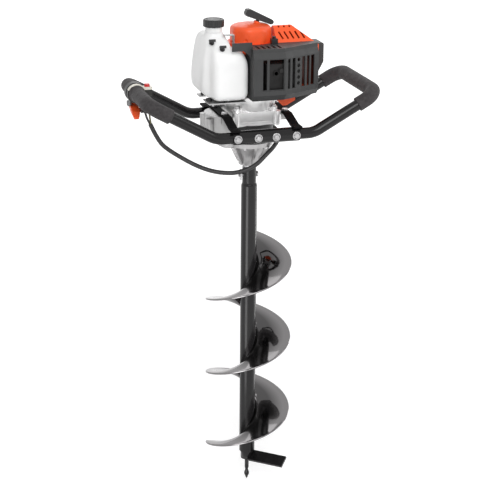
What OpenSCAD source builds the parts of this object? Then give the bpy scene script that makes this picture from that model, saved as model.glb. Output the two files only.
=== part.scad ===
// Earth auger: petrol engine, reduction gearbox, two-handle frame and drill bit.
// Millimetres. +Z is up, X runs along the handles and Y runs to the back.
// The origin is the tip of the pilot point, on the drill axis.

/* [Bit] */
// Outside diameter of the flight
flight_d = 200; // [160:1:240]
// Rise of the flight in one turn
flight_pitch = 185; // [160:1:200]
// Height of the flight where it first passes +X
flight_z = 202; // [195:1:230]
// Angle where the flight begins, counted from +X
flight_start = -200; // [-210:1:-150]
// Angle that the flight covers
flight_sweep = 1000; // [800:5:1050]
// Sheet thickness of the flight
flight_t = 4; // [3:0.5:6]
// Diameter of the bit tube
tube_d = 37; // [34:0.5:40]
// Wall of the bit tube
tube_wall = 3; // [2:0.5:4]
// Lower end of the bit tube
tube_z = 78; // [74:1:84]
// Length of the drive socket at the top of the bit
socket_len = 36; // [34:1:55]
// Diameter of the drive socket
socket_d = 32; // [30:0.5:33]
// Length of the whole bit
bit_len = 790; // [785:1:800]
// Diameter of the pilot rod
pilot_d = 10; // [8:0.5:12]
// Width of the cutter blade
blade_w = 32; // [24:1:36]
// Thickness of the cutter blade
blade_t = 6; // [4:0.5:7]

/* [Gearbox] */
// Gear module
gear_m = 1.5; // [1.45:0.05:1.5]
// Teeth of both pinions
pinion_n = 12; // [12:1:12]
// Teeth of both wheels
wheel_n = 54; // [54:1:54]
// Face width of the gears
gear_w = 12; // [10:0.5:13]
// Diameter of the output shaft in its bearings
out_d = 25; // [23:0.5:26]
// Diameter of the output shaft in the drive socket
drive_d = 20; // [18:0.5:21]
// Half length of the upper case along X
case_x = 52; // [50:0.5:53]
// Half depth of the upper case along Y
case_y = 54; // [52:0.5:56]

/* [Handles] */
// Diameter of the handle tubes
bar_d = 25; // [23:0.5:27]
// Wall of the handle tubes
bar_wall = 2; // [1.5:0.5:3]
// Distance of a handle run from the drill axis, front and back
bar_y = 117; // [112:1:122]
// Where the runs begin to bend upwards
run_x = 97; // [92:1:104]
// Where the crossbars lie
grip_x = 257; // [250:1:264]
// Slope of the rising arms
arm_a = 29; // [26:0.5:31]
// Radius of the lower bends
bend_r = 55; // [45:1:65]
// Radius of the corners
corner_r = 32; // [30:1:38]
// Diameter of the foam grips
foam_d = 38; // [35:0.5:40]
// Where the foam begins along the arms
foam_x = 212; // [205:1:216]
// Half length of the saddle sleeves
saddle_x = 76; // [75:0.5:79]
// Sheet thickness of saddles and straps
sheet_t = 3; // [2.5:0.5:4]

/* [Engine] */
// Radius of the crankcase
crank_r = 48; // [47:0.5:48.5]
// How far the fan casing reaches past the starter housing
fan_lip = 8; // [7.5:0.5:9]
// Radius of the cooling fins
fin_r = 40; // [36:0.5:40]
// Cooling fin spacing
fin_step = 8; // [7:0.5:10]
// Width of the starter housing across its flats
starter_w = 88; // [84:1:89]
// Length of the pull handle
pull_len = 68; // [60:1:72]
// Wall of the plastic covers
skin = 2.5; // [2:0.5:3]

/* [Tank] */
// Left side of the tank
tank_x = -126; // [-132:1:-122]
// Front face of the tank
tank_y = -86; // [-90:1:-82]
// Diameter of the fuel cap
cap_d = 46; // [42:1:50]
// Wall of the tank
tank_wall = 3; // [2:0.5:3.5]

/* [Controls] */
// Width of the throttle trigger
trigger_w = 18; // [14:0.5:19]
// Diameter of the stop button
button_d = 12; // [10:0.5:13]
// Diameter of the cable sleeve
sleeve_d = 10; // [8:0.5:11]
// Diameter of the throttle cable
cable_d = 5; // [4:0.5:6]
// Diameter of the switch wire
wire_d = 4; // [3:0.5:4.5]

/* [Fits] */
// Gap between pieces that move past each other
gap = 0.4; // [0.3:0.05:0.6]
// Radial running clearance of shafts
run = 0.05; // [0.03:0.01:0.08]
// Radial clearance of bolts in their holes
slack = 0.2; // [0.15:0.05:0.3]

/* [Hidden] */
$fn = 48;
eps = 0.01;
// level where the bit tube narrows to its drive socket
socket_z = bit_len - socket_len;
// levels from the bottom of the gearbox upwards
zc = bit_len + 8;
zs = zc + 57;
zt = zc + 132;
zk = zt + 32;
zm = zk + 88;
zf = zm + 28;
zh = zc + 94;
zcy = zk + 43;
// gear centre distance and levels of the two stages
gear_a = gear_m * (pinion_n + wheel_n) / 2;
z_low = zs + 11;
z_high = zs + 39;
lobe_z = zs + 23;
lobe_top = zs + 66;
wheel_r = gear_m * wheel_n / 2 + gear_m;
// guard: front face, where its slanted face begins, direction of that face and right end
guard_y = -110;
guard_k = 48.7;
guard_a = 24.8;
guard_x = 136;
// fan casing, and left and right ends of the cylinder shroud
fan_r = starter_w / 2 + fan_lip;
shroud_x0 = fan_r - 4;
shroud_x = 145;
shroud_y = -43;
// cylinder head end and spark plug place
head_x = 122;
plug_y = 14;
plug_z = zcy + 8;
// handle geometry
arm_x = run_x + bend_r * sin(arm_a);
arm_z = zh + bend_r * (1 - cos(arm_a));
arm_len = (grip_x - arm_x) / cos(arm_a);
grip_z = arm_z + arm_len * sin(arm_a);
// strap levels
strap_x = 70;
strap_w = 20;
strap_z = lobe_top;
strap_foot = bar_y - bar_d / 2;
// bolts along the saddles
bolt_xs = [-66.4, -20.4, 20.4, 66.4];
case_bolt_as = [0, 60, 120, 240, 300];
// clutch housing bolts, along X and Y
lug = 42;
// pull direction of the starter rope
pull_a = 23.5;
pull_c = [19, 0, zf + 52];
// fuel cap place
cap_x = -90;
cap_y = -20;
neck_r = cap_d / 2 - 5;
tank_z = zk + 2;
tank_top = zk + 139;
// control places along the left crossbar
trig_y = 48;
trig_z = grip_z - foam_d / 2 - 11;
clamp_y = 27;
ring_y = 10;
ring_w = 10;
sw_o = foam_d / 2 + 5;
sw_x = -grip_x + sw_o;
// routes of the free cords, with heights counted from the gearbox bottom
function from_case(pts) = [for (p = pts) p + [0, 0, zc]];
cable_pts = from_case([[-241, 6.6, 137.5], [-240, 2, 133.5], [-235, 7, 119], [-226, 20, 103]]);
wire_pts = from_case([[-233, 10, 168.5], [-233, 9.5, 161], [-232.5, 7, 150], [-230.5, 6, 136],
    [-228, 8, 120], [-225, 12, 105]]);
sleeve_pts = from_case([[-225, 18, 102], [-212, 14, 74], [-195, 10, 50], [-158, 0, 24], [-121, -12, 4],
    [-88, -22, -7], [-57, -32, -10], [-35, -39, -7], [-14, -45, 1], [5, -47, 12],
    [22, -47, 28], [44, -42, 47], [62, -22, 62], [67, 8, 70], [62, 40, 76], [54, 66, 90],
    [50, 77, 112], [50, 82, 138], [50, 91, 158], [50, 92, 179]]);

// Which node to build

// rod of radius r from point a along one axis
module rod_x(r, x0, x1) {
    translate([x0, 0, 0])
        rotate([0, 90, 0])
            cylinder(r = r, h = x1 - x0);
}

module rod_y(r, y0, y1) {
    translate([0, y1, 0])
        rotate([90, 0, 0])
            cylinder(r = r, h = y1 - y0);
}

module rod_z(r, z0, z1) {
    translate([0, 0, z0])
        cylinder(r = r, h = z1 - z0);
}

module ring_z(r1, r2, z0, z1) {
    difference() {
        rod_z(r2, z0, z1);
        rod_z(r1, z0 - 1, z1 + 1);
    }
}

module box(a, b) {
    translate(a)
        cube(b - a);
}

// convex polygon with true round corners
module rpoly(pts, r) {
    n = len(pts);
    difference() {
        polygon(pts);
        for (i = [0 : n - 1]) {
            p = pts[i];
            u = pts[(i + n - 1) % n] - p;
            v = pts[(i + 1) % n] - p;
            a = u / norm(u);
            b = v / norm(v);
            half = acos(a * b) / 2;
            t = r / tan(half);
            m = (a + b) / norm(a + b);
            difference() {
                polygon([p - m * 2, p + a * t, p + b * t]);
                translate(p + m * r / sin(half))
                    circle(r);
            }
        }
    }
}

// extrude a profile drawn in Y and Z along X
module along_x(x0, x1) {
    translate([x0, 0, 0])
        rotate([90, 0, 90])
            linear_extrude(x1 - x0)
                children();
}

// extrude a profile drawn in X and Z along Y
module along_y(y0, y1) {
    translate([0, y1, 0])
        rotate([90, 0, 0])
            linear_extrude(y1 - y0)
                children();
}

// involute gear outline
function inv(a) = tan(a) * 180 / PI - a;
function flank(r, rb, half) = half + inv(20) - (r > rb ? inv(acos(rb / r)) : 0);
function tooth(rf, r0, ra, rb, half) = [
    [rf, -flank(r0, rb, half)], [r0, -flank(r0, rb, half)],
    [(r0 + ra) / 2, -flank((r0 + ra) / 2, rb, half)], [ra, -flank(ra, rb, half)],
    [ra, flank(ra, rb, half)], [(r0 + ra) / 2, flank((r0 + ra) / 2, rb, half)],
    [r0, flank(r0, rb, half)], [rf, flank(r0, rb, half)]];

module gear(n, add, ded) {
    rp = gear_m * n / 2;
    rb = rp * cos(20);
    rf = rp - ded * gear_m;
    ra = rp + add * gear_m;
    r0 = max(rb, rf + 0.05);
    half = 90 / n - gap / 2 / rp * 180 / PI;
    polygon([for (k = [0 : n - 1])
        for (p = tooth(rf, r0, ra, rb, half))
            p[0] * [cos(360 * k / n + p[1]), sin(360 * k / n + p[1])]]);
}

// smooth route through points, and a round tube along it
function cat(a, b, c, d, t) = 0.5 * (2 * b + (c - a) * t + (2 * a - 5 * b + 4 * c - d) * t * t
    + (3 * b - a - 3 * c + d) * t * t * t);
function route(p, k) = let (n = len(p)) [for (i = [0 : n - 2]) for (j = [0 : k - 1])
    cat(p[max(i - 1, 0)], p[i], p[i + 1], p[min(i + 2, n - 1)], j / k), p[n - 1]];
function unit(v) = v / norm(v);
function heading(q, i) = unit(q[min(i + 1, len(q) - 1)] - q[max(i - 1, 0)]);
function carry(q, i, side) = i >= len(q) ? [] : let (t = heading(q, i),
    s = unit(side - t * (side * t))) concat([[t, s]], carry(q, i + 1, s));

module cord(pts, d, k, sides) {
    q = route(pts, k);
    f = carry(q, 0, [0.1, 1, 0.2]);
    n = len(q);
    v = [for (i = [0 : n - 1]) for (j = [0 : sides - 1])
        q[i] + d / 2 * (f[i][1] * cos(360 * j / sides)
            + cross(f[i][0], f[i][1]) * sin(360 * j / sides))];
    walls = [for (i = [0 : n - 2]) for (j = [0 : sides - 1]) let (e = (j + 1) % sides)
        [i * sides + j, (i + 1) * sides + j, (i + 1) * sides + e, i * sides + e]];
    first = [for (j = [0 : sides - 1]) j];
    last = [for (j = [0 : sides - 1]) (n - 1) * sides + sides - 1 - j];
    polyhedron(v, concat(walls, [first, last]), convexity = 10);
}

// Bit

module auger_tube() {
    color("#1c1c1e")
        difference() {
            union() {
                rod_z(tube_d / 2, tube_z, socket_z - 8);
                translate([0, 0, socket_z - 8])
                    cylinder(r1 = tube_d / 2, r2 = socket_d / 2, h = 8);
                rod_z(socket_d / 2, socket_z - eps, bit_len);
            }
            rod_z(tube_d / 2 - tube_wall, tube_z - 1, socket_z - 14);
            rod_z(drive_d / 2, socket_z - 15, bit_len + 1);
            translate([0, 0, bit_len - 18])
                rod_x(4, -30, 30);
        }
}

module auger_flight() {
    n = ceil(flight_sweep / 7.5);
    ri = tube_d / 2 + 0.03;
    ro = flight_d / 2;
    function at(r, i, up) = let (a = flight_start + flight_sweep * i / n)
        [r * cos(a), r * sin(a), flight_z + flight_pitch * a / 360 + up];
    v = [for (i = [0 : n])
        for (p = [[ri, -flight_t], [ro, -flight_t], [ro, 0], [ri, 0]]) at(p[0], i, p[1])];
    walls = [for (i = [0 : n - 1]) for (j = [0 : 3]) for (s = [0, 1])
        let (a = 4 * i + j, b = 4 * i + (j + 1) % 4)
            s == 0 ? [a, a + 4, b] : [b, a + 4, b + 4]];
    color("#2a2a2c")
        polyhedron(v, concat(walls, [[0, 1, 2, 3], [4 * n + 3, 4 * n + 2, 4 * n + 1, 4 * n]]),
            convexity = 10);
}

module cutter_blade() {
    color("#242426")
        difference() {
            rotate([0, 0, -41])
                translate([0, 0, tube_z - 13.5])
                    rotate([23, 0, 0])
                        translate([8, -blade_w / 2, -blade_t / 2])
                            cube([flight_d / 2 - 10, blade_w, blade_t]);
            rod_z(15, 0, tube_z + 10);
        }
}

module pilot_point() {
    r = pilot_d / 2;
    color("#303032") {
        rotate_extrude()
            polygon([[0, 0], [1, 1], [r + 1, 13], [r + 1, 17], [r - 1.5, 25], [r, 32], [r, tube_z - 24],
                [15, tube_z - 20], [15, tube_z], [tube_d / 2 - tube_wall, tube_z],
                [tube_d / 2 - tube_wall, tube_z + 20], [0, tube_z + 20]]);
    }
}

module shaft_pin() {
    x = -socket_d / 2 - 6;
    color("#b9bcc0")
        translate([0, 0, bit_len - 18]) {
            difference() {
                union() {
                    rod_x(4, x - 4, socket_d / 2);
                    rod_x(6.5, socket_d / 2, socket_d / 2 + 4);
                }
                translate([x, 0, 0])
                    rod_z(1.2, -10, 10);
            }
            translate([x, 0, 0])
                rod_z(1.2, -12, 9);
            translate([x, -5, 9])
                rotate([90, 0, 90])
                    rotate_extrude(angle = 180)
                        translate([5, 0])
                            circle(1.2);
            translate([x, -10, 0])
                rod_z(1.2, -10, 9);
        }
}

// Gearbox

module output_shaft() {
    color("#a9acb0")
        difference() {
            union() {
                rod_z(drive_d / 2, socket_z - 13, bit_len);
                rod_z(out_d / 2, bit_len, z_low + gear_w);
            }
            translate([0, 0, bit_len - 18])
                rod_x(4, -30, 30);
        }
}

module output_gear() {
    color("#8d9094")
        translate([0, 0, z_low])
            difference() {
                linear_extrude(gear_w)
                    gear(wheel_n, 0.6, 1.2);
                translate([0, 0, -1])
                    cylinder(r = out_d / 2, h = gear_w + 2);
                translate([0, 0, gear_w - 3])
                    ring_z(20, 34, 0, 5);
            }
}

module intermediate_shaft() {
    color("#a9acb0")
        translate([-gear_a, 0, 0]) {
            rod_z(6, zs - 8, z_low - 1);
            translate([0, 0, z_low - 1])
                rotate([0, 0, 15])
                    linear_extrude(gear_w + 4)
                        gear(pinion_n, 0.85, 1.2);
            rod_z(7, z_low + gear_w + 3, z_high + gear_w);
            rod_z(6, z_high + gear_w, lobe_top - 4);
        }
}

module intermediate_gear() {
    color("#8d9094")
        translate([-gear_a, 0, z_high])
            difference() {
                linear_extrude(gear_w)
                    gear(wheel_n, 0.6, 1.2);
                translate([0, 0, -1])
                    cylinder(r = 7, h = gear_w + 2);
                translate([0, 0, gear_w - 3])
                    ring_z(16, 34, 0, 5);
            }
}

module clutch_drum() {
    color("#9b9ea2") {
        translate([0, 0, z_high - 1])
            rotate([0, 0, 15])
                linear_extrude(gear_w + 2)
                    gear(pinion_n, 0.85, 1.2);
        rod_z(7, z_high + gear_w, z_high + gear_w + 3);
        rod_z(7.5, z_high + gear_w + 2, zt + 4.01);
        rod_z(36, zt + 4, zt + 7);
        ring_z(33, 36, zt + 6.99, zt + 27);
    }
}

module case_outline(r, lobe) {
    circle(r);
    translate([-gear_a, 0])
        circle(lobe);
}

module gearbox_lower_case() {
    color("#b4b6b8")
        difference() {
            union() {
                rod_z(25, zc, zc + 17);
                translate([0, 0, zc + 16])
                    cylinder(r1 = 25, r2 = 42, h = 31);
                translate([0, 0, zs - 10])
                    linear_extrude(10)
                        case_outline(52, 24);
                translate([-gear_a, 0, 0])
                    rod_z(16, zs - 14, zs - 9);
                for (a = [30 : 60 : 330])
                    rotate([0, 0, a])
                        along_y(-2.5, 2.5)
                            polygon([[20, zc + 4], [28, zc + 4], [48, zs - 14], [48, zs - 9],
                                [20, zs - 9]]);
            }
            rod_z(21, zc - 1, zc + 20);
            rod_z(14, zc, zs + 1);
            rod_z(26, zs - 14, zs + 1);
            translate([-gear_a, 0, 0])
                rod_z(11, zs - 9, zs + 1);
            for (a = case_bolt_as)
                rotate([0, 0, a])
                    translate([47, 0, 0])
                        rod_z(2.5 + slack, zs - 20, zs + 1);
        }
}

module gearbox_upper_case() {
    color("#a8aaad")
        difference() {
            union() {
                translate([0, 0, zs])
                    linear_extrude(zc + 104 - zs)
                        case_outline(52, 24);
                translate([-gear_a, 0, 0])
                    rod_z(55, lobe_z, lobe_top);
                for (s = [-1, 1])
                    translate([-gear_a - 50, s * 26, 0])
                        rod_z(9, lobe_z, lobe_top - 6);
                translate([0, 0, zt - 30])
                    linear_extrude(30)
                        rpoly([[-case_x, -case_y], [case_x, -case_y], [case_x, case_y],
                            [-case_x, case_y]], 9);
                for (x = [-1, 1], y = [-1, 1])
                    translate([x * (case_x - 4), y * (case_y - 2), 0])
                        rod_z(8, zt - 31, zt);
                for (x = [-1, 1], y = [-1, 1])
                    box([x > 0 ? case_x - 5 : -strap_x - 10, y * 38 - 9, lobe_top - 14],
                        [x > 0 ? strap_x + 10 : -case_x + 5, y * 38 + 9, lobe_top]);
            }
            for (y = [-1, 1])
                box([-34, y * case_y - 1.5, zt - 23], [34, y * case_y + 1.5, zt - 7]);
            rod_z(wheel_r + 2, zs - 1, z_low + gear_w + 5);
            translate([-gear_a, 0, 0]) {
                rod_z(18, zs - 1, z_high);
                rod_z(wheel_r + 2, z_high - 3, z_high + gear_w + 3);
                rod_z(11, z_high, lobe_top - 2);
            }
            rod_z(14, z_low, z_high + gear_w + 3);
            rod_z(16, z_high + gear_w + 2, zt - 6);
            rod_z(9, z_high, zt + 1);
            for (a = case_bolt_as)
                rotate([0, 0, a])
                    translate([47, 0, 0])
                        rod_z(2.5 + slack, zs - 1, zs + 12);
            for (x = [-1, 1], y = [-1, 1])
                translate([x * strap_x, y * 38, 0])
                    rod_z(4 + slack, lobe_top - 9, lobe_top + 1);
            for (x = [-1, 1], y = [-1, 1])
                translate([x * lug, y * lug, 0])
                    rod_z(3 + slack, zt - 14, zt + 1);
        }
}

module gearbox_bearings() {
    color("#c6c8ca") {
        ring_z(out_d / 2 + run, 21, zc + 8, zc + 20);
        ring_z(out_d / 2 + run, 26, zs - 14, zs - 1);
        translate([-gear_a, 0, 0])
            ring_z(6 + run, 11, zs - 9, zs);
        translate([-gear_a, 0, 0])
            ring_z(6 + run, 11, z_high + gear_w + 4, lobe_top - 2);
        ring_z(7.5 + run, 16, z_high + gear_w + 4, zt - 6);
    }
}

module output_seal() {
    color("#2b2b2d")
        ring_z(out_d / 2 + run, 21, zc + 1, zc + 8);
}

module hex_bolt(d, l, h) {
    rod_z(d / 2, -l, 0);
    cylinder(r = d * 0.95, h = h, $fn = 6);
}

module case_bolts() {
    color("#c9ccd0") {
        for (a = case_bolt_as)
            rotate([0, 0, a])
                translate([47, 0, zs - 10])
                    rotate([180, 0, 0])
                        hex_bolt(5, 20, 4);
        for (x = [-1, 1], y = [-1, 1])
            translate([x * lug, y * lug, zt + 8])
                hex_bolt(6, 20, 4);
    }
}

// Engine

module clutch_housing() {
    color("#c4c6c8")
        difference() {
            union() {
                translate([0, 0, zt])
                    cylinder(r1 = 54, r2 = 58, h = 24);
                rod_z(58, zt + 24 - eps, zk);
                for (x = [-1, 1], y = [-1, 1])
                    translate([x * lug, y * lug, 0])
                        rod_z(8, zt, zt + 8);
            }
            rod_z(40, zt - 1, zk - 5);
            rod_z(20, zt, zk + 1);
            for (x = [-1, 1], y = [-1, 1])
                translate([x * lug, y * lug, 0]) {
                    rod_z(3 + slack, zt - 1, zt + 9);
                    rod_z(7, zt + 8, zt + 20);
                }
        }
}

module clutch_shoes() {
    color("#7d6a58")
        for (s = [-1, 1])
            difference() {
                intersection() {
                    ring_z(8, 32, zt + 9, zt + 24);
                    box([-40, s > 0 ? 1 : -40, zt], [40, s > 0 ? 40 : -1, zk]);
                }
                for (x = [-1, 1])
                    translate([x * 20, s * 12, 0])
                        rod_z(4, zt, zk);
            }
}

module crankcase() {
    color("#aeb0b2")
        difference() {
            union() {
                rod_z(crank_r, zk, zm);
                box([20, -36, zcy - 36], [crank_r + 3, 36, zcy + 36]);
                box([-24, 20, zk], [30, 54, zk + 14]);
            }
            rod_z(40, zk + 14, zm - 14);
            rod_z(17, zk + 2, zm - 2);
            rod_z(10, zk - 1, zm + 1);
            translate([0, 0, zcy])
                rod_x(21, 30, 60);
        }
}

module crank_bearings() {
    color("#c6c8ca") {
        ring_z(8 + run, 17, zk + 2, zk + 13);
        ring_z(8 + run, 17, zm - 13, zm - 2);
    }
}

module crankshaft() {
    color("#9fa2a6") {
        rod_z(8, zt + 9, zcy - 14);
        rod_z(32, zcy - 18, zcy - 8);
        translate([14, 0, 0])
            rod_z(8, zcy - 9, zcy + 9);
        rod_z(32, zcy + 8, zcy + 18);
        rod_z(8, zcy + 14, zf - 2);
        translate([0, 0, zf - 5])
            cylinder(r = 11, h = 5, $fn = 6);
    }
}

module flywheel() {
    color("#8f9296") {
        difference() {
            union() {
                rod_z(fan_r - skin - 3, zm + 3, zm + 10);
                rod_z(16, zm + 3, zf - 5);
                for (a = [0 : 30 : 330])
                    rotate([0, 0, a])
                        translate([0, 0, zm + 9])
                            rotate([0, 0, 12])
                                box([17, -1.2, 0], [fan_r - skin - 5, 1.2, zf - zm - 16]);
            }
            rod_z(8, zm, zf);
        }
    }
}

module cylinder_block() {
    color("#b2b4b6")
        difference() {
            union() {
                translate([0, 0, zcy])
                    rod_x(25, crank_r + 3, head_x);
                intersection() {
                    for (x = [crank_r + 14 : fin_step : head_x - 2])
                        translate([0, 0, zcy])
                            rod_x(fin_r, x, x + 2.5);
                    translate([0, 0, zcy - 60])
                        linear_extrude(120)
                            polygon([[50, 37], [142, 37], [142, -4], [108, -36], [50, -36]]);
                }
                box([crank_r + 3, -34, zcy - 34], [crank_r + 9, 34, zcy + 34]);
                box([62, -47, zcy - 13], [90, 0, zcy + 13]);
                box([62, 0, zcy - 15], [92, 66, zcy + 15]);
            }
            translate([0, 0, zcy])
                rod_x(19, crank_r, head_x - 18);
            translate([0, plug_y, plug_z])
                rod_x(6, head_x - 19, 150);
            translate([76, 0, zcy])
                rod_y(8, -60, 0);
            translate([76, 0, zcy])
                rod_y(9, 0, 70);
        }
}

module spark_plug() {
    color("#d8d8d4")
        translate([0, plug_y, plug_z]) {
            rod_x(6, head_x - 18, head_x);
            translate([head_x, 0, 0])
                rotate([0, 90, 0])
                    cylinder(r = 10, h = 6, $fn = 6);
            rod_x(6, head_x + 5, head_x + 33);
        }
}

module plug_cap() {
    color("#1d1d1f")
        translate([0, plug_y, plug_z])
            difference() {
                union() {
                    rod_x(8.5, head_x + 18, head_x + 36.5);
                    translate([head_x + 30, 0, 0])
                        rod_z(5, 0, 20);
                }
                rod_x(6, head_x + 17, head_x + 33);
            }
}

module head_cover() {
    color("#2e3032")
        difference() {
            along_y(2, 48)
                rpoly([[shroud_x, zcy - 9], [160, zcy - 7], [173, zcy + 17], [173, zcy + 60],
                    [shroud_x, zcy + 60]], 4);
            along_y(4.5, 45.5)
                polygon([[shroud_x - 1, zcy - 6.5], [158.6, zcy - 4.5], [170.5, zcy + 17.6],
                    [170.5, zcy + 57.5], [shroud_x - 1, zcy + 57.5]]);
        }
}

// outside shape of the cylinder shroud, shrunk by o
module shroud_shape(o) {
    z0 = zk;
    z1 = zm + 62;
    intersection() {
        box([shroud_x0 + o, shroud_y + o, z0 + o], [shroud_x - o, 62 - o, z1 - o]);
        along_y(-80, 80)
            polygon([[30, z0 - 1], [150, z0 - 1], [150, z1 - 44 - o], [90, z1 - o],
                [90, z1 + 1], [30, z1 + 1]]);
        along_x(30, 150)
            polygon([[-44 + o, z0 + 13 + o / 2], [-30 + o / 2, z0 - 1 + o], [63 - o, z0 - 1 + o],
                [63 - o, z1 - 36 - o], [-10, z1 - o + 1], [-12, z1 - o + 1], [-44 + o, z1 - 36 - o]]);
    }
}

module cylinder_shroud() {
    z1 = zm + 62;
    color("#f2622b")
        difference() {
            union() {
                difference() {
                    shroud_shape(0);
                    shroud_shape(skin);
                }
                ring_z(fan_r - skin, fan_r, zm, zf);
                ring_z(44, fan_r, zm, zm + 2);
                ring_z(41, fan_r, zf - 3, zf);
                box([33, -54, zf - 3], [45, -34, zf]);
                along_y(shroud_y, shroud_y + skin)
                    polygon([[50, zk + 22], [50, zk - 12], [63, zk - 24], [72, zk - 24], [92, zk - 13],
                        [92, zk + 22]]);
            }
            rod_z(59, zk - 20, zk + 1);
            box([shroud_x0 + skin, -40, zm - 20], [70, 42, zf - 4]);
            box([shroud_x0 - 8, -38, zcy - 38], [shroud_x0 + skin + 1, 38, zcy + 38]);
            box([59, -50, zcy - 16], [93, -35, zcy + 16]);
            box([59, 50, zcy - 18], [95, 70, zcy + 18]);
            translate([0, plug_y, plug_z])
                rod_x(13, shroud_x - 10, shroud_x + 10);
            rod_z(fan_r - skin, zm + 2, zf - 3);
            for (i = [0 : 4])
                translate([61 + i * 12.4, -28, zm + 42])
                    rotate([48.4, 0, 0])
                        rotate([0, 0, 20])
                            box([-2, -10, -8], [2, 10, 8]);
            for (i = [0 : 2])
                box([58 + i * 12.4, -22, z1 - 4], [62 + i * 12.4, -8, z1 + 4]);
            for (i = [0 : 4])
                box([58 + i * 12.4, 8, zm + 30], [62 + i * 12.4, 44, zm + 70]);
        }
}

module muffler() {
    color("#7b7d7f")
        difference() {
            union() {
                translate([0, 0, zk + 13])
                    linear_extrude(71)
                        rpoly([[5, -102], [44, -102], [94, -79], [94, -47], [58, -47], [5, -58]], 2);
                translate([14, 0, zk + 24])
                    rod_y(5, -107, -101);
                translate([38, 0, zk + 70])
                    rod_y(5, -107, -101);
                translate([27, 0, zk + 64])
                    rod_y(6, -106, -100);
            }
            translate([0, 0, zk + 16])
                linear_extrude(65)
                    polygon([[8, -99], [43, -99], [91, -77], [91, -50], [59, -50], [8, -60.5]]);
            translate([76, 0, zcy])
                rod_y(8, -55, -40);
            translate([27, 0, zk + 64])
                rod_y(4.5, -110, -95);
        }
}

// outside of the guard, shrunk by o, and open at the back where it is shrunk
module guard_shape(o) {
    z0 = zk + 4;
    z1 = zm + 30;
    xk = guard_k - o * tan(guard_a / 2);
    xr = guard_x - o;
    yb = o == 0 ? shroud_y - gap : 100;
    difference() {
        translate([0, 0, z0 + o])
            linear_extrude(z1 - z0 - 2 * o)
                polygon([[-25 + o, yb], [-25 + o, guard_y + o], [xk, guard_y + o],
                    [xr, guard_y + o + (xr - xk) * tan(guard_a)], [xr, yb]]);
        for (p = [[-100, 0], [guard_k, guard_a]])
            translate([p[0], guard_y, 0])
                rotate([0, 0, p[1]])
                    along_x(-20, 400) {
                        polygon([[-30, z1 - 20], [o, z1 - 20], [o + 7, z1 - 8], [o + 7, z1 + 1],
                            [-30, z1 + 1]]);
                        polygon([[-30, z0 - 1], [o + 10, z0 - 1], [o, z0 + 13], [-30, z0 + 13]]);
                    }
    }
}

module muffler_guard() {
    zb = zk + 29;
    ze = zm + 7;
    yt = tank_y - gap;
    color("#4a4c4e")
        difference() {
            union() {
                difference() {
                    guard_shape(0);
                    guard_shape(3);
                }
                box([-68, yt - 2.5, zf - 3], [-23, yt, zf + 15]);
                along_y(yt - 2.5, yt)
                    polygon([[-46, zf + 6], [-40, zf - 5], [-31, zf - 12], [-26, zf - 21],
                        [-24.5, zf - 32], [-22, zf - 32], [-22, zf + 6]]);
            }
            rod_z(fan_r + 1, zk, zf + 10);
            box([31, -56, zf - 5], [47, -30, zf + 5]);
            box([-8, -112, zb - 2], [45, -108.8, ze + 2]);
            box([-4, -112, zb], [5, -105, ze]);
            box([10.5, -112, zb], [43, -105, ze]);
            for (i = [0 : 4])
                box([-12 + i * 12, -98, zf - 5], [-6 + i * 12, -66, zf + 5]);
            translate([guard_k, guard_y, 0])
                rotate([0, 0, guard_a]) {
                    for (s = [[4.5, 11], [17.5, 26], [46, 55], [61, 68.5], [73, 83]])
                        box([s[0], -2, zb], [s[1], 8, ze]);
                    for (i = [0 : 4])
                        translate([36, 0, zb + 9 + i * 13])
                            rod_y(4.2, -2, 8);
                }
        }
}

module octa(w, z0, h, w2) {
    translate([0, 0, z0])
        rotate([0, 0, 22.5])
            cylinder(r1 = w / 2 / cos(22.5), r2 = w2 / 2 / cos(22.5), h = h, $fn = 8);
}

module starter_housing() {
    color("#f2622b")
        difference() {
            union() {
                octa(starter_w, zf, 31, starter_w);
                octa(starter_w, zf + 31, 11, starter_w - 36);
                translate(pull_c)
                    rotate([0, pull_a, 0])
                        rod_z(7, -20, -9 - gap);
            }
            difference() {
                union() {
                    octa(starter_w - 2 * skin, zf - 1, 31, starter_w - 2 * skin);
                    octa(starter_w - 2 * skin, zf + 30 - eps, 9, starter_w - 34);
                }
                rod_z(5, zf + 13, zf + 45);
                rod_z(8, zf + 29.5, zf + 45);
                box([-36, -46, zf - 2], [-16, -30, zf + 15]);
            }
            box([-31, -50, zf - 1], [-19, -36.5, zf + 11]);
            translate(pull_c)
                rotate([0, pull_a, 0])
                    rod_z(3.2, -40, 5);
        }
}

module starter_pulley() {
    color("#3a3c3e")
        translate([0, 0, zf + 16])
            rotate_extrude()
                polygon([[5 + run, 0], [27, 0], [27, 2], [22, 4], [22, 8], [27, 10], [27, 12],
                    [5 + run, 12]]);
}

module starter_rope() {
    color("#d9d4c8")
        translate(pull_c)
            rotate([0, pull_a, 0])
                rod_z(1.6, -20, -9);
}

module starter_handle() {
    h = pull_len / 2;
    color("#232426")
        translate(pull_c)
            rotate([0, pull_a, 0]) {
                along_y(-8, 8)
                    polygon([[-h + 4, -8], [h - 4, -4.8], [h, -1.5], [h, 3], [h - 4, 6.2],
                        [-h + 7, 9.5], [-h, 6], [-h, -4]]);
                translate([0, 0, -9])
                    cylinder(r1 = 4, r2 = 5.5, h = 9);
            }
}

module ignition_coil() {
    color("#3b3431") {
        box([32, -55, zf], [46, -43, zf + 13]);
        translate([39, -49, 0])
            rod_z(4, zf + 12, zf + 18);
    }
}

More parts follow.
